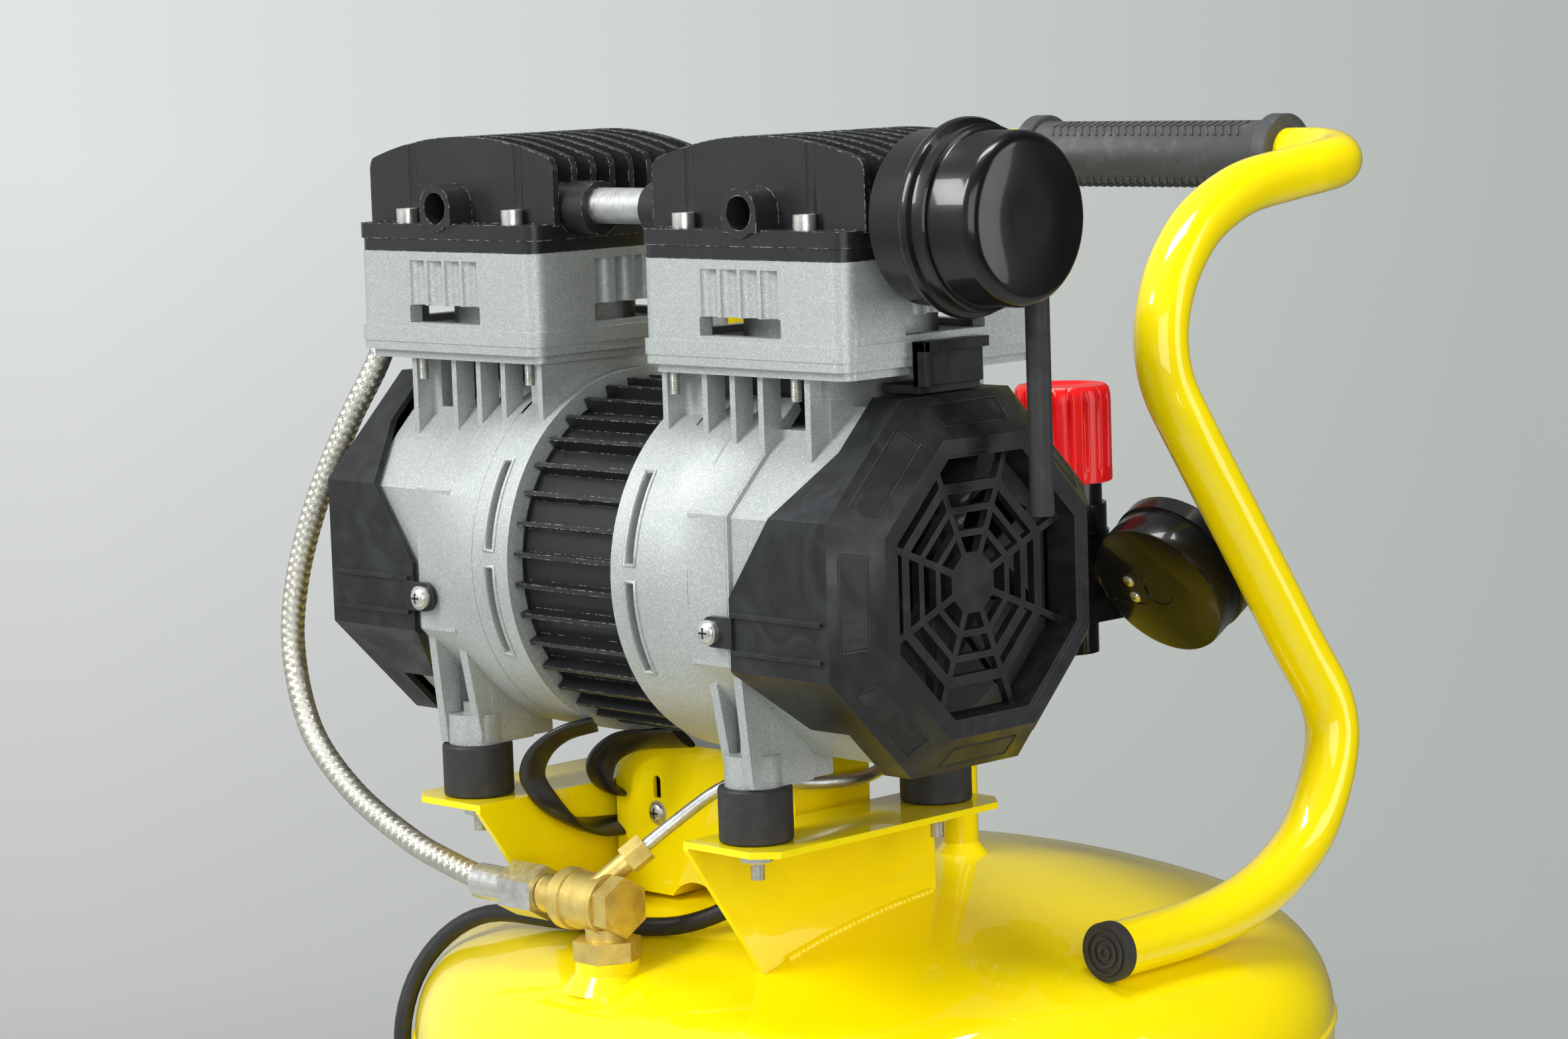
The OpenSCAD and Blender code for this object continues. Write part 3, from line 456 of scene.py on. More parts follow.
COIL_AT, COIL_OUT, COIL_STEP, COIL_TURN = (-194.0, 2.0), 58.6, 8.4, 1530


def ease(s, a, b):
    t = min(max((s - a) / (b - a), 0.0), 1.0)
    return t * t * (3 - 2 * t)


def coil_points():
    """Turns beside and on each other: three wide on the floor, then back over the inner one."""
    out = []
    for s in range(15, COIL_TURN + 1, 15):
        r = COIL_OUT - COIL_STEP * (ease(s, 270, 355) + ease(s, 630, 715) - ease(s, 1440, 1530))
        z = -515.8 + COIL_STEP * ease(s, 985, 1075)
        a = math.radians(-90 - s)
        out.append((COIL_AT[0] + r * math.cos(a), COIL_AT[1] + r * math.sin(a), z))
    return out


cord_path = catmull([at(*p) for p in CORD_ROUTE], 3) + [at(*p) for p in coil_points()] \
    + [at(*p) for p in PLUG_ROUTE[1:]]
cord = tube("power_cord_line", cord_path, CORD_D / 2, sides=16)
finish_piece(cord, CORD, "frame", "power_cord", "cord_coil")
plug = dress("plug", CORD, 1.0, segments=3)
gland = dress("cord_gland", CORD, 0.4)

# ---- Everything that stays close to its CAD shape, with rounded edges ----
DRESSED = [
    ("tank", YELLOW, 1.0), ("bracket_left", YELLOW, 0.5),
    ("bracket_right", YELLOW, 0.5), ("rubber_mounts", RUBBER, 1.2),
    ("mount_hardware", ZINC, 0.3), ("handle_caps", RUBBER, 0.4),
    ("axle", ZINC, 0.4), ("front_feet", RUBBER, 1.0),
    ("stator_housing", BLACK_CAST, 0.3), ("stator_core", IRON, 0.3),
    ("crankcase_left", SILVER, 0.7), ("crankcase_right", SILVER, 0.7),
    ("cylinder_housing_left", SILVER, 0.7), ("cylinder_housing_right", SILVER, 0.7),
    ("cylinder_liners", SILVER, 0.3), ("piston_rods", SILVER, 0.5),
    ("valve_plates", BLACK_CAST, 0.3), ("head_left", BLACK_CAST, 0.7),
    ("head_right", BLACK_CAST, 0.7), ("casing_screws", ZINC, 0.5),
    ("crossover_tube", TUBE_ALLOY, 0.2), ("bearings", ZINC, 0.4),
    ("fan_cover_left", CHARCOAL, 0.6), ("fan_cover_right", CHARCOAL, 0.6),
    ("intake_tube", RUBBER, 0.4),
    ("hose_fittings", ZINC, 0.5), ("check_valve", BRASS, 0.4),
    ("electrics_cover", YELLOW, 0.5), ("run_capacitor", BLACK_PLASTIC, 0.6),
    ("manifold", BRASS, 0.5),
    ("switch_base", BLACK_PLASTIC, 0.6), ("switch_cover", BLACK_PLASTIC, 1.0),
    ("regulator_body", BLACK_PLASTIC, 0.7), ("gauge_lenses", LENS, 0.4),
    ("coupler_body", BRASS, 0.4), ("safety_valve", BRASS, 0.4),
    ("drain_body", BRASS, 0.4), ("rotor", IRON, 0.4, "rotor"),
    ("fans", BLACK_PLASTIC, 0.4, "rotor"),
    ("needle_outlet", RED, 0.1, "needle_outlet"), ("needle_tank", RED, 0.1, "needle_tank"),
    ("switch_knob", RED, 1.0, "switch_knob"), ("coupler_sleeve", ZINC, 0.5, "coupler_sleeve"),
    ("safety_ring", ZINC, 0.3, "safety_ring"), ("drain_lever", RED, 0.6, "drain_lever"),
    ("wheel_left", CHARCOAL, 0.8, "wheel_left"), ("wheel_right", CHARCOAL, 0.8, "wheel_right"),
]
for node_look in DRESSED:
    dress(*node_look)

# ---- Handle, unloader line and braided delivery hose ----
SIDE_ROUTE = [(178, 75, -60.5), (178, 100, -60.5), (178, 128, -60), (178, 160, -56), (176, 192, -47),
              (173, 221, -30), (170, 241, 0), (167, 243, 25), (161, 227, 57), (153, 195, 115),
              (147, 171, 158), (142.5, 163, 178), (140.5, 160.5, 196), (138.5, 165, 214),
              (135.5, 178, 233), (132.5, 200, 251), (131, 232, 264), (130, 268, 269), (130, 286, 271),
              (126, 308, 273), (114, 323, 275), (98, 329, 276), (84, 329, 276)]
HOSE_ROUTE = [(-176, -22, 240), (-176, -25, 222), (-179, -33, 196), (-194, -41, 166), (-212, -48, 128),
              (-224, -53, 90), (-226, -56, 55), (-211, -59, 18), (-177, -62, -8), (-135, -63, -26),
              (-105, -63, -34), (-84, -63, -38)]
UNLOADER_ROUTE = [(6, -51.4, -18.9), (16, -36.8, -5.8), (28, -18.5, 8.5), (44, -11, 15), (58, -4, 13.5),
                  (62.8, 16, 11), (62.8, 44, 10), (54, 72, 18), (34, 88, 40), (14, 98, 66), (-4, 102, 88),
                  (-14, 103, 101)]

half = [at(*p) for p in SIDE_ROUTE]
handle = catmull(half + [Vector((-p.x, p.y, p.z)) for p in reversed(half)], 5)
finish_piece(tube("handle_bar", handle, 0.0125, sides=48), YELLOW, "frame", "handle_tube")
finish_piece(tube("unloader_line", catmull([at(*p) for p in UNLOADER_ROUTE], 6), 0.003, sides=20),
             TUBE_ALLOY, "frame", "unloader_tube")


def even(path, step):
    """The same line with points a fixed distance apart."""
    out, left = [path[0]], step
    for a, b in zip(path, path[1:]):
        gap, done = (b - a).length, 0.0
        while gap - done >= left:
            done += left
            out.append(a.lerp(b, done / gap))
            left = step
        left -= gap - done
    return out


def braided_hose():
    """Two sets of thin wire ribbons wound opposite ways, each passing over two and under two."""
    step, strands, pitch, wires = 0.0008, 12, 0.026, 3
    path = even(catmull([at(*p) for p in HOSE_ROUTE], 12), step)
    rings = frames_along(path)
    finish_piece(tube("hose_core", path, 0.0051, sides=32), RUBBER, slot="black_rubber")
    verts, faces = [], []
    for way in (1, -1):
        for s in range(strands):
            for w in range(wires):
                off = (w - (wires - 1) / 2) * 0.00056
                rows = []
                for i, (t, u, v) in enumerate(rings):
                    d = i * step
                    a = way * 2 * math.pi * d / pitch + 2 * math.pi * s / strands
                    cross = way * math.cos(strands * math.pi * d / pitch - math.pi / 4)
                    r = 0.00545 + 0.00016 * cross
                    out = math.cos(a) * u + math.sin(a) * v
                    around = -math.sin(a) * u + math.cos(a) * v
                    lean = (t * pitch + around * way * 2 * math.pi * r).normalized()
                    wide = lean.cross(out)
                    c = path[i] + out * r + wide * off
                    n = len(verts)
                    verts += [c + wide * 0.00027, c + out * 0.00018, c - wide * 0.00027]
                    rows.append((n, n + 1, n + 2))
                for a, b in zip(rows, rows[1:]):
                    for k in (0, 1):
                        faces.append((a[k], b[k], b[k + 1], a[k + 1]))
    finish_piece(add_mesh("hose_braid", verts, faces, 70.0), BRAID, "frame", "delivery_hose")


braided_hose()


# ---- Grip: end flanges and a moulded zigzag panel ----
def grip():
    place = Matrix.Translation(at(-75, 329, 276)) @ ALONG_X
    profile = [(12.6, -7), (18.7, -7), (19.5, -6.2), (19.5, 1.2), (18.6, 2), (16.6, 2.2), (16.2, 3),
               (16.2, 147), (16.6, 147.8), (18.6, 148), (19.5, 148.8), (19.5, 156.2), (18.7, 157),
               (12.6, 157)]
    finish_piece(lathe("grip_body", profile, place, 96), GRIP, "frame", "handle_grip")
    verts, faces = [], []
    axis = at(0, 329, 276)
    for side in range(3):
        mid = math.radians(-115 + 120 * side)
        for k in range(26):
            for lean in (-1, 1):
                x0 = -62 + 4.8 * k
                quad = []
                for du, dx in ((0.02, 0.0), (0.34, 3.2)):
                    for half_w in (-0.75, 0.75):
                        for rr in (16.0, 17.2):
                            a = mid + lean * du
                            x = x0 + dx + half_w
                            quad.append(Vector((axis.x + x * MM, axis.y + rr * MM * math.cos(a),
                                                axis.z + rr * MM * math.sin(a))))
                n = len(verts)
                verts += quad
                faces += [[n + q for q in face] for face in ((1, 3, 7, 5), (0, 1, 5, 4), (3, 2, 6, 7),
                                                             (0, 2, 3, 1), (4, 5, 7, 6))]
    panel = add_mesh("grip_zigzag", verts, faces)
    mod = panel.modifiers.new("edges", "BEVEL")
    mod.width, mod.segments = 0.0003, 2
    finish_piece(panel, GRIP, slot="grip_rubber")


grip()

# ---- Regulator knob: fluted, with a chamfered crown ----
def fluted_knob():
    place = Matrix.Translation(at(45, 200, 126.4))
    shape, sides = [], 18 * 16
    for r, z, depth in ((20.0, 0.0, 0.0), (22.6, 0.0, 0.0), (23.2, 0.6, 0.0), (23.2, 5.5, 0.0),
                        (23.2, 8.5, 1.0), (23.2, 38.0, 1.0), (23.1, 41.0, 0.55), (22.4, 44.4, 0.15),
                        (20.8, 46.0, 0.0), (14.0, 46.0, 0.0), (13.2, 45.4, 0.0), (0.8, 45.2, 0.0)):
        ring = []
        for k in range(sides):
            w = 2 * math.pi * k / sides
            flute = max(0.0, math.cos(18 * w)) ** 2.2
            rr = (r - 1.9 * depth * flute) * MM
            ring.append(place @ Vector((rr * math.cos(w), rr * math.sin(w), z * MM)))
        shape.append(ring)
    verts = [v for ring in shape for v in ring]
    faces = ring_faces(len(shape), sides) + end_caps(len(shape), sides)[1:]
    finish_piece(add_mesh("knob_body", verts, faces, 40.0), RED, "regulator_knob", "regulator_knob")
    stem = Matrix.Translation(at(45, 200, 112.4))
    finish_piece(lathe("knob_stem", [(0, 0), (5, 0), (5, 16), (0, 16)], stem, 48), BLACK_PLASTIC,
                 "regulator_knob", slot="black_plastic")


fluted_knob()

# ---- Gauges ----
GAUGE = Matrix.Translation(at(105, 196, 78)) @ Matrix.Rotation(math.radians(-60), 4, "X")
REAR_GAUGE = Matrix.Translation(at(-78, 150, 80)) @ Matrix.Rotation(math.radians(-90), 4, "X")


def dial(name, place, r, height):
    """A white card with a plain scale; its ticks are raised by a hair."""
    card = lathe(name + "_card", [(2.2, height), (r, height), (r, height + 0.25), (2.2, height + 0.25)],
                 place, 96)
    finish_piece(card, CARD, slot="black_plastic")
    verts, faces = [], []
    for k in range(51):
        a = math.radians(225 - 270 * k / 50)
        inner = r * (0.80 if k % 10 == 0 else 0.87 if k % 5 == 0 else 0.90)
        w = 0.45 if k % 10 == 0 else 0.22
        d, s = Vector((math.cos(a), math.sin(a), 0)), Vector((-math.sin(a), math.cos(a), 0))
        n = len(verts)
        for rr, ww in ((inner, -w), (inner, w), (r * 0.95, w), (r * 0.95, -w)):
            q = d * rr + s * ww
            verts.append(place @ Vector((q.x * MM, q.y * MM, (height + 0.32) * MM)))
        faces.append((n, n + 1, n + 2, n + 3))
    finish_piece(add_mesh(name + "_scale", verts, faces), BLACK_PLASTIC, slot="black_plastic")


def card_white():
    f = Finish("dial_card", (0.80, 0.80, 0.78), 0.5)
    f.tint(f.spread(f.noise(200.0, 3.0), 0.4, 0.7, 0.0, 0.3), (0.72, 0.71, 0.68))
    return f.done()


CARD = card_white()
finish_piece(lathe("gauge_case_front", [
    (0, 0.4), (7.5, 0.4), (8.1, 0), (33.2, 0), (34.6, 0.5), (35, 1.6), (35, 16.2), (34.7, 16.7),
    (34.7, 17.6), (35.8, 18.1), (35.8, 26), (35.1, 27), (33.4, 27), (33, 26.4), (33, 12), (2.06, 12),
    (2.06, 6), (0, 6)], GAUGE, 128), BLACK_PLASTIC, "frame", "gauge_cases")
finish_piece(lathe("gauge_case_rear", [
    (0, 0), (24, 0), (25, 0.8), (25, 25.2), (24.4, 26), (23.4, 26), (23, 25.6), (23, 12), (2.06, 12),
    (2.06, 6), (0, 6)], REAR_GAUGE, 96), BLACK_PLASTIC, "frame", "gauge_cases")
finish_piece(lathe("gauge_stem", [(0, 0), (6, 0), (6, 4), (0, 4)],
                   GAUGE @ Matrix.Translation((-0.0378, 0, 0.009)) @ ALONG_X, 48),
             BRASS, "frame", "gauge_cases", slot="brass")
dial("outlet_dial", GAUGE, 32.6, 12.0)
dial("tank_dial", REAR_GAUGE, 22.6, 12.0)

# ---- Intake filter ----
finish_piece(lathe("filter_body", [
    (5, 0), (34.5, 0), (36.5, 1.6), (36.5, 18), (37.4, 19), (38.6, 20), (40.6, 21.4), (41.5, 23.4),
    (41.5, 24.8), (40.8, 26.6), (38.8, 27.6), (38.5, 29), (38.5, 33.2), (37.8, 34), (36.4, 34.3),
    (36, 35), (36, 52), (35.6, 53.6), (34.4, 55.4), (32.6, 56.8), (30.5, 57.5), (12, 57.2), (0, 57.2)],
    Matrix.Translation(at(170, -22, 266)) @ ALONG_X, 160),
    BLACK_PLASTIC, "frame", "filter_housing")
finish_piece(lathe("filter_neck", [(5, 0), (7.9, 0), (7.9, 13.6), (5, 13.6)],
                   Matrix.Translation(at(156.4, -22, 266)) @ ALONG_X, 64),
             BLACK_PLASTIC, "frame", "filter_housing")


# ---- Cast bodies: the blend from the round ring to the eight-sided end and slot rims ----
RING_R = 83.3   # outside of the round ring of each crankcase


def octagon_radius(vertex, angle):
    """Distance to an octagon with a corner at 22.5 degrees."""
    a = (angle + math.pi / 8) % (math.pi / 4) - math.pi / 8
    return vertex * math.cos(math.pi / 8) / math.cos(a)


def around(side, x, r, angle):
    """A point r millimetres from the motor's axis; angle 0 is straight up, growing to the rear."""
    return at(side * x, r * math.sin(angle), 110.9 + r * math.cos(angle))


def cast_blend(side):
    """Open above the motor's axis within 30 mm of it, where the neck of the casting stands."""
    steps, sides, verts = 24, 192, []
    turns = [2 * math.pi * k / sides for k in range(sides)]
    for i in range(steps + 1):
        t = i / steps
        mix = ease(t, 0.1, 1.0)
        verts += [around(side, 58 + 42.6 * t, (1 - mix) * RING_R + mix * octagon_radius(84.35, a), a)
                  for a in turns]
    verts += [around(side, 100.6, 0.93 * octagon_radius(84.35, a), a) for a in turns]
    faces = [f for f in ring_faces(steps + 2, sides)
             if abs(sum(verts[v].y for v in f) / 4 - PUMP.y * MM) > 0.030
             or sum(verts[v].z for v in f) / 4 < 0.6]
    finish_piece(add_mesh("cast_blend", verts, faces, 30.0), SILVER, slot="cast_alloy")


def loop_tube(name, path, radius, material, slot, sides=8):
    """A closed ring of round section."""
    verts, faces, n = [], [], len(path)
    side = Vector((0.3, 0.2, 0.93))
    for i in range(n):
        t = (path[(i + 1) % n] - path[i - 1]).normalized()
        u = (side - side.dot(t) * t).normalized()
        v = t.cross(u)
        side = u
        for k in range(sides):
            w = 2 * math.pi * k / sides
            verts.append(path[i] + radius * (math.cos(w) * u + math.sin(w) * v))
    for i in range(n):
        for k in range(sides):
            j, m = (k + 1) % sides, (i + 1) % n
            faces.append((i * sides + k, i * sides + j, m * sides + j, m * sides + k))
    finish_piece(add_mesh(name, verts, faces, 60.0), material, slot=slot)


def slot_rim(side, low, high):
    """The raised lip around a long curved slot in the ring; angles in degrees from straight up."""
    points = [(43.0, low + (high - low) * k / 8) for k in range(9)]
    points += [(49.5, high - (high - low) * k / 8) for k in range(9)]
    loop_tube("slot_rim", [around(side, x, RING_R, math.radians(a)) for x, a in points], 0.0009, SILVER,
              "cast_alloy")


def block(name, low, high, material, slot, bevel=0.4):
    """A box in the pump's frame with rounded edges."""
    verts = [at(x, y, z) for x in (low[0], high[0]) for y in (low[1], high[1]) for z in (low[2], high[2])]
    faces = [(0, 1, 3, 2), (4, 6, 7, 5), (0, 4, 5, 1), (2, 3, 7, 6), (0, 2, 6, 4), (1, 5, 7, 3)]
    obj = add_mesh(name, verts, faces)
    mod = obj.modifiers.new("edges", "BEVEL")
    mod.width, mod.segments = bevel * MM, 3
    return finish_piece(obj, material, slot=slot)


def screw_end(x, y, low, high, r=2.4):
    """A short threaded end."""
    profile, z = [(0, low), (r - 0.5, low)], low
    while z < high - 0.5:
        profile += [(r, z + 0.25), (r - 0.35, z + 0.5)]
        z += 0.5
    profile += [(r, high), (0, high)]
    finish_piece(lathe("screw_end", profile, Matrix.Translation(at(x, y, 0)), 32), ZINC, slot="zinc_steel")


def pan_head(name, place, r):
    """A domed screw head; its cross recess is painted shade, a black cross laid a hair proud of the head
    in place of a hole. It sits on the plane z = 0 and looks along +Z.
    """
    top = 0.56 * r
    profile = [(r * 1.18, -0.3), (r * 1.18, 0.35), (r * 0.98, 0.45), (r, 0.7)]
    for k in range(1, 9):
        a = math.radians(90 * k / 8)
        profile.append((r * math.cos(a) * 0.99 + 0.01, 0.7 + (top - 0.7) * math.sin(a)))
    profile[-1] = (0.0, top)
    finish_piece(lathe(name, profile, place, 48), ZINC, slot="zinc_steel")
    # Painted shade: a black cross stands in for the shaded hollow of the recess.
    verts, faces = [], []
    for turn in (0, math.pi / 2):
        n = len(verts)
        for x, y in ((-0.5, -0.1), (0.5, -0.1), (0.5, 0.1), (-0.5, 0.1)):
            px = r * (x * math.cos(turn) - y * math.sin(turn))
            py = r * (x * math.sin(turn) + y * math.cos(turn))
            for z in (top - 0.9, top + 0.03):
                verts.append(place @ Vector((px * MM, py * MM, z * MM)))
        faces += [(n + 1, n + 3, n + 5, n + 7), (n, n + 1, n + 3, n + 2), (n + 2, n + 3, n + 5, n + 4),
                  (n + 4, n + 5, n + 7, n + 6), (n + 6, n + 7, n + 1, n)]
    finish_piece(add_mesh(name + "_cross_painted_shade", verts, faces), RUBBER, slot="zinc_steel")


def pump_place(x, y, z, turn, axis):
    return Matrix.Translation(at(x, y, z)) @ Matrix.Rotation(math.radians(turn), 4, axis)


for side in (-1, 1):
    cast_blend(side)
    for low, high in ((-118.6, -89.4), (-84.6, -55.4), (61.4, 90.6), (95.4, 124.6)):
        slot_rim(side, low, high)
    for y in (-1, 1):
        xs = sorted((side * 57.5, side * 118.5))
        ys = sorted((y * 25.1, y * 26.6))
        block("neck_shadow", (xs[0], ys[0], 178), (xs[1], ys[1], 198.6), RUBBER, "black_rubber", 0.3)
    for y in (-1, 1):
        screw_end(side * 47.5, y * 53.5, 190, 199.8)
        screw_end(side * 121.5, y * 53.5, 190, 199.8)
        pan_head("cover_screw", pump_place(side * 94.5, y * 84.6, 94, -90 * y, "X"), 4.6)


# ---- Fan covers: framed panels on the sloping facets ----
def facet_panels(side):
    for k in range(8):
        mid = math.pi / 4 * k

        def on_facet(t, w, lift):
            x = 162.3 + 17.1 * t + lift * 0.715
            flat = 80.19 - 17.46 * t + lift * 0.699
            c, s = math.cos(mid), math.sin(mid)
            return at(side * x, flat * s + w * c, 110.9 + flat * c - w * s)

        outline = []
        for (t0, w0), (t1, w1) in zip(((0.2, -21), (0.2, 21), (0.7, 19.5), (0.7, -19.5)),
                                      ((0.2, 21), (0.7, 19.5), (0.7, -19.5), (0.2, -21))):
            for j in range(8):
                outline.append(on_facet(t0 + (t1 - t0) * j / 8, w0 + (w1 - w0) * j / 8, 0.05))
        loop_tube("panel_line", outline, 0.00035, CHARCOAL, "charcoal_plastic", sides=6)
        corners = ((0.23, -19.9), (0.23, 19.9), (0.67, 18.5), (0.67, -18.5))
        verts = [on_facet(t, w, h) for h in (-0.3, 0.12) for t, w in corners]
        faces = [(4, 5, 6, 7), (0, 1, 5, 4), (1, 2, 6, 5), (2, 3, 7, 6), (3, 0, 4, 7)]
        finish_piece(add_mesh("panel", verts, faces), PANEL, slot="charcoal_plastic")


def panel_plastic():
    f = Finish("panel_plastic", (0.007, 0.0075, 0.0085), 0.5, ior=1.38)
    f.tint(f.spread(f.noise(45.0, 5.0, distort=1.0), 0.42, 0.68, 0.0, 0.7), (0.036, 0.039, 0.042))
    f.bump(f.noise(1500.0, 2.0), 0.2, 0.12)
    return f.done()


PANEL = panel_plastic()
for side in (-1, 1):
    facet_panels(side)

# ---- Air guides between the housings and the fan covers ----
for side in (-1, 1):
    for low, high in (((158.9, -22, 209.5), (166.3, 18, 214)), ((159.2, -22, 195), (162.4, 18, 211)),
                      ((159.2, -22, 195), (166.3, -18.5, 214)), ((138, -19, 191.5), (159.5, 19, 195.5)),
                      ((146, -7, 191.5), (158.8, 5, 199.8))):
        xs = sorted((side * low[0], side * high[0]))
        piece = block("air_guide", (xs[0], low[1], low[2]), (xs[1], high[1], high[2]), CHARCOAL,
                      "charcoal_plastic")
        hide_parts("air_guides")


# ---- Wire sleeves: flat ribbons that twist on their way into the electrics cover ----
def ribbon(name, points, wide, thick, turns):
    path = catmull([at(*p) for p in points], 10)
    verts, sides = [], 20
    for i, (_, u, v) in enumerate(frames_along(path, (0.2, 1, 0.1))):
        f = i / (len(path) - 1)
        tw = math.radians(turns[0] + (turns[1] - turns[0]) * ease(f, 0.1, 0.75))
        pinch = 1 - 0.22 * math.exp(-((f - 0.38) / 0.1) ** 2) + 0.05 * math.sin(19 * f)
        a, b = math.cos(tw) * u + math.sin(tw) * v, -math.sin(tw) * u + math.cos(tw) * v
        for k in range(sides):
            w = 2 * math.pi * k / sides
            fold = 1 + 0.15 * math.sin(2 * w + 9 * f)
            verts.append(path[i] + MM * (wide * pinch * math.cos(w) * a + thick * fold * math.sin(w) * b))
    faces = ring_faces(len(path), sides) + end_caps(len(path), sides)
    finish_piece(add_mesh(name, verts, faces, 50.0), SLEEVE, "frame", "wire_sleeves")


SLEEVE = soft_rubber("wire_sleeve", (0.008, 0.008, 0.009), 0.28)
ribbon("sleeve_front", [(-33, -36, 35), (-44, -45, 31), (-55, -50, 22), (-61, -50, 10), (-60, -42, -3),
                        (-60, -30, -13), (-62, -14, -19), (-63, 2, -21), (-62, 12, -21), (-54, 18, -21)],
       7.2, 2.4, (20, 130))
ribbon("sleeve_back", [(-4, -8, 27.6), (-24, -8.5, 25.2), (-42, -9, 22), (-55, -9.5, 15), (-61, -9, 6),
                       (-62, -4, -2), (-63, 8, -5), (-62, 17, -5), (-54, 23, -5)], 8.0, 2.4, (40, 95))

# ---- Electrics cover, gauge back and valve details ----
pan_head("cover_plate_screw", pump_place(-34, 1.9, -12, 90, "X"), 4.8)
for y in (4.6, -4.6):
    pan_head("gauge_screw", GAUGE @ Matrix.Translation((-15.5 * MM, y * MM, 0))
             @ Matrix.Rotation(math.pi, 4, "X"), 2.6)
loop_tube("gauge_socket_line", [GAUGE @ Vector((px * MM, py * MM, -0.00005)) for px, py in (
    (-33, -7), (-26, -7), (-18, -8.6), (-10, -8.6), (-7.5, -6), (-7.5, 0), (-7.5, 6), (-10, 8.6),
    (-18, 8.6), (-26, 7), (-33, 7), (-33.6, 0))], 0.00035, BLACK_PLASTIC, "black_plastic", sides=6)


def bead(d):
    """Radius of the weld, rippled by its overlapping beads, at a distance along it."""
    return 0.0017 * (1 + 0.05 * math.sin(d * 2100) + 0.08 * math.sin(d * 370))


def weld(name, points):
    path = even(catmull([at(*p) for p in points], 8), 0.0005)
    finish_piece(tube(name, path, bead, sides=16), YELLOW, slot="yellow_paint")


TOP_RISE, KNUCKLE_RISE, KNUCKLE_R = 78, 45, 172.5
CROWN = (KNUCKLE_R ** 2 + TOP_RISE ** 2 - KNUCKLE_RISE ** 2) / (2 * (TOP_RISE - KNUCKLE_RISE))


def dome_z(x, y):
    """Height of the tank's domed top at a point of the pump's frame, in that frame."""
    r = math.hypot(x, y - 105)
    return -120 + TOP_RISE - CROWN + math.sqrt(CROWN ** 2 - r ** 2)


def threads(name, place, r, low, high):
    """A threaded length: ridges between low and high."""
    profile, z, pitch = [(r - 0.5, low)], low, 1.25
    while z < high - pitch:
        profile += [(r, z + pitch * 0.5), (r - 0.55, z + pitch)]
        z += pitch
    finish_piece(lathe(name, profile, place, 64, 80.0), BRASS, slot="brass")


VALVE = pump_place(0, -63, -39, 90, "Y")
threads("valve_thread", VALVE, 8.75, -38.8, -26.2)
finish_piece(lathe("valve_cap_face", [(0, 13.0), (11.4, 13.0), (11.4, 13.45), (10.9, 13.7), (0, 13.7)],
                   VALVE, 64), BRASS, slot="brass")
finish_piece(lathe("valve_collar", [(13.0, -24.5), (14.1, -24), (14.1, -17.5), (13.0, -17)], VALVE, 96),
             BRASS, slot="brass")
for x in (-91.35, 91.35):
    for y in (-56.3, 56.3):
        under = Matrix.Translation(at(x, y, 0))
        finish_piece(lathe("mount_nut", [(3, -9.6), (6.6, -9.6), (7.5, -8.9), (7.5, -4.9), (6.6, -4.2),
                                         (3, -4.2)], under, 6), ZINC, slot="zinc_steel")
        finish_piece(lathe("mount_washer", [(3, -4.3), (8.4, -4.3), (8.6, -3.9), (8.4, -3.05), (3, -3.05)],
                           under, 48), ZINC, slot="zinc_steel")
        screw_end(x, y, -17.2, -9.4, 3.2)
web_verts = [at(x, y, z) for x in (67.02, 69.98)
             for y, z in ((-45.2, -49.5), (-38.1, -60), (-34, -67), (-24, -67), (-24, -50))]
finish_piece(add_mesh("web_foot", web_verts, [(4, 3, 2, 1, 0), (5, 6, 7, 8, 9), (0, 1, 6, 5), (1, 2, 7, 6),
                                              (2, 3, 8, 7), (3, 4, 9, 8), (4, 0, 5, 9)]),
             YELLOW, slot="yellow_paint")
for side in (-1, 1):
    for x in (66.2, 70.8):
        weld("bracket_weld", [(side * x, y, dome_z(x, y) + 0.3) for y in (-20, 0, 20, 45, 73)])

# ---- Stage and lights ----
def make_stage():
    verts, rows, cols, far = [], 24, 48, 9.0
    for i in range(rows + 1):
        lat = math.pi * (i / rows - 0.5)
        for j in range(cols):
            lon = 2 * math.pi * j / cols
            verts.append(Vector((far * math.cos(lat) * math.cos(lon), far * math.cos(lat) * math.sin(lon),
                                 far * math.sin(lat) + 0.5)))
    faces = [tuple(reversed(f)) for f in ring_faces(rows + 1, cols)]
    dome = add_mesh("stage_dome", verts, faces, 180.0)
    dome.data.materials.append(backdrop())
    floor = lathe("stage_floor", [(160.0 * k, 0.0) for k in range(14)],
                  Matrix.Translation((0, 0, -0.0005)), 64)
    floor.data.materials.append(floor_cover())


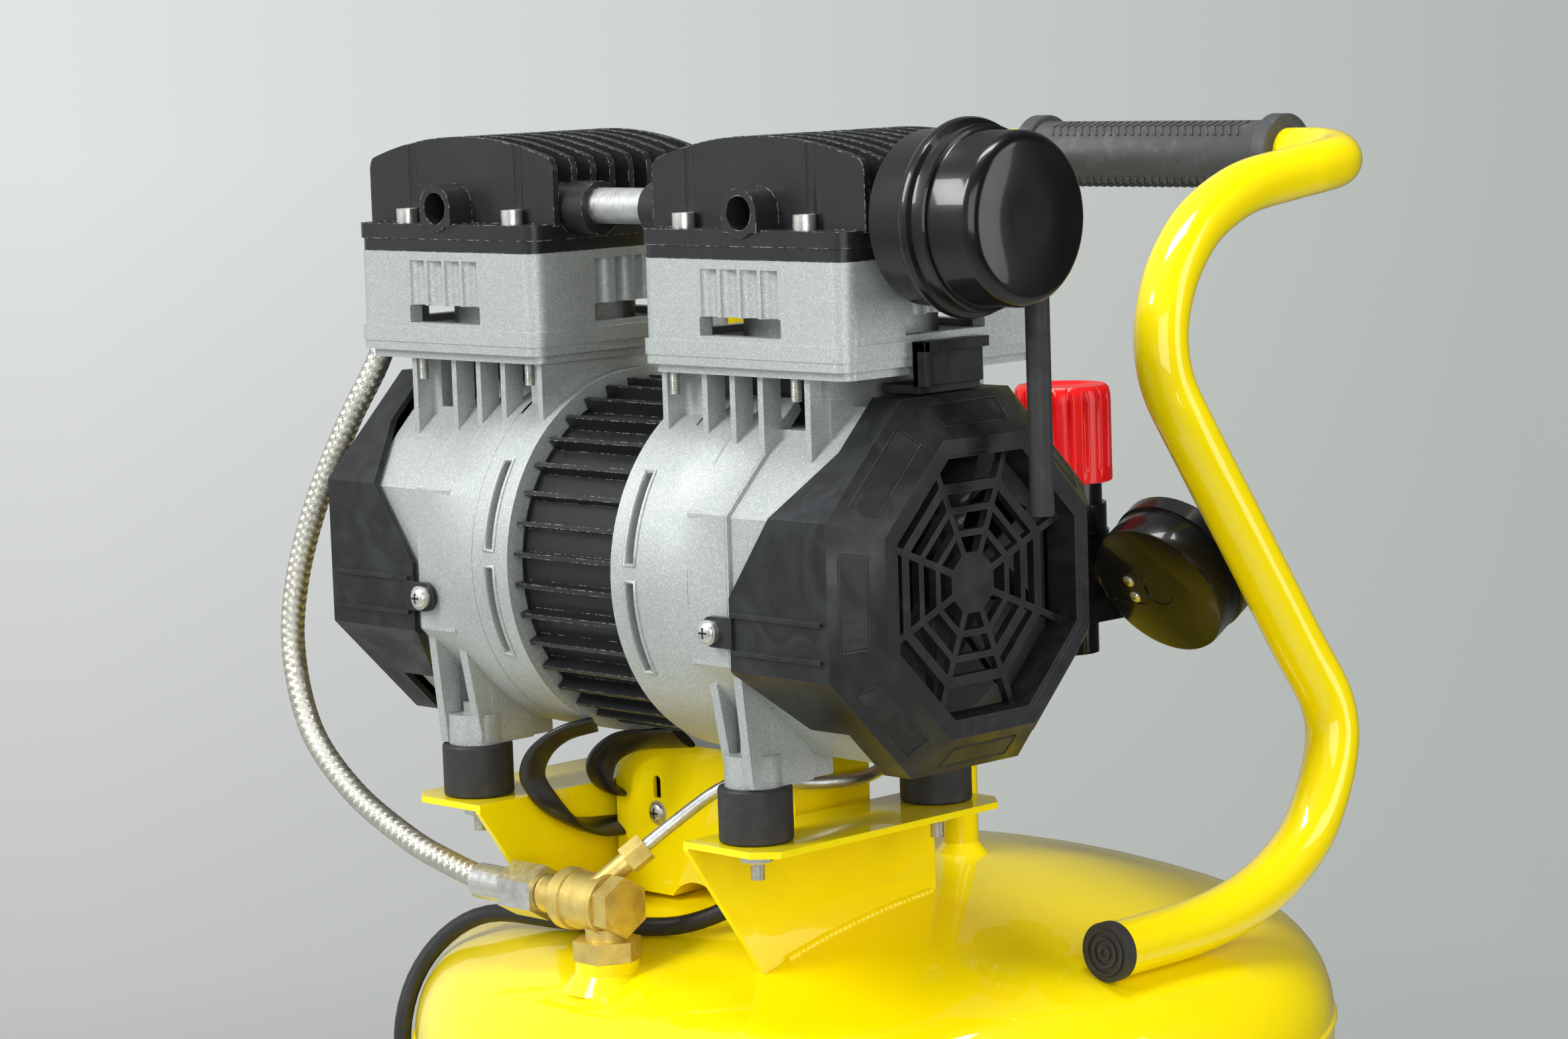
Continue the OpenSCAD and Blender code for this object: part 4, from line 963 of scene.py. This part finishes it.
def backdrop():
    """Soft grey studio wall with the fall of the studio light painted into its glow: lighter to the left
    and upwards, as seen by the camera.
    """
    mat = bpy.data.materials.new("backdrop")
    mat.use_nodes = True
    t = mat.node_tree
    t.nodes.clear()
    new, link = t.nodes.new, t.links.new
    coords = new("ShaderNodeTexCoord").outputs["Object"]
    across = new("ShaderNodeVectorMath")
    across.operation = "DOT_PRODUCT"
    across.inputs[1].default_value = view_right
    link(coords, across.inputs[0])
    upward = new("ShaderNodeSeparateXYZ")
    link(coords, upward.inputs[0])
    side = new("ShaderNodeMapRange")
    for k, v in zip(("From Min", "From Max", "To Min", "To Max"), (-1.9, 1.9, 0.0, 1.0)):
        side.inputs[k].default_value = v
    link(across.outputs["Value"], side.inputs["Value"])
    high = new("ShaderNodeMapRange")
    for k, v in zip(("From Min", "From Max", "To Min", "To Max"), (-1.9, 0.55, 0.0, 1.0)):
        high.inputs[k].default_value = v
    link(upward.outputs["Z"], high.inputs["Value"])
    colors = []
    for left, right in (((0.50, 0.515, 0.50), (0.43, 0.455, 0.435)),
                        ((0.75, 0.775, 0.77), (0.455, 0.485, 0.46))):
        mix = new("ShaderNodeMix")
        mix.data_type = "RGBA"
        mix.inputs[6].default_value = (*left, 1)
        mix.inputs[7].default_value = (*right, 1)
        link(side.outputs["Result"], mix.inputs[0])
        colors.append(mix.outputs[2])
    mix = new("ShaderNodeMix")
    mix.data_type = "RGBA"
    link(colors[0], mix.inputs[6])
    link(colors[1], mix.inputs[7])
    link(high.outputs["Result"], mix.inputs[0])
    path = new("ShaderNodeLightPath")
    dim = new("ShaderNodeMapRange")
    for k, v in zip(("From Min", "From Max", "To Min", "To Max"), (-8.0, 6.0, 1.05, 0.10)):
        dim.inputs[k].default_value = v
    link(across.outputs["Value"], dim.inputs["Value"])
    power = new("ShaderNodeMix")
    power.data_type = "FLOAT"
    power.inputs[3].default_value = 1.0
    link(path.outputs["Is Camera Ray"], power.inputs[0])
    link(dim.outputs["Result"], power.inputs[2])
    glow = new("ShaderNodeEmission")
    link(mix.outputs[2], glow.inputs["Color"])
    link(power.outputs[0], glow.inputs["Strength"])
    link(glow.outputs["Emission"], new("ShaderNodeOutputMaterial").inputs["Surface"])
    return mat


def floor_cover():
    """Pale matt floor that fades out into the wall before it reaches its own edge."""
    f = Finish("floor_cover", (0.50, 0.51, 0.50), 0.6)
    f.tint(f.spread(f.noise(3.0, 3.0), 0.4, 0.7, 0.0, 0.2), (0.46, 0.47, 0.46))
    away = f.node("ShaderNodeVectorMath", operation="LENGTH")
    f.link(f.coords, away.inputs[0])
    f.link(f.spread(away.outputs["Value"], 0.9, 1.9, 1.0, 0.0), f.shader.inputs["Alpha"])
    return f.done()


def area_light(name, spot, aim, size, watts):
    data = bpy.data.lights.new(name, "AREA")
    data.shape, data.size, data.size_y = "RECTANGLE", *size
    data.energy = watts
    light = bpy.data.objects.new(name, data)
    scene.collection.objects.link(light)
    light.location = spot
    light.rotation_euler = (Vector(aim) - Vector(spot)).to_track_quat("-Z", "Y").to_euler()


make_stage()
middle = Vector((0, -0.06, 0.62))
area_light("key_light", middle - 1.7 * view_right + 0.8 * view_back + Vector((0, 0, 1.2)), middle,
           (0.6, 1.1), 38.0)
area_light("top_light", middle + 0.25 * view_back + Vector((0, 0, 2.1)), middle, (1.2, 0.5), 40.0)
area_light("right_fill", middle + 1.9 * view_right + 0.7 * view_back + Vector((0, 0, 0.4)), middle,
           (0.8, 1.8), 16.0)
area_light("front_fill", middle + 0.35 * view_right + 2.3 * view_back + Vector((0, 0, 0.25)), middle,
           (1.6, 1.6), 26.0)
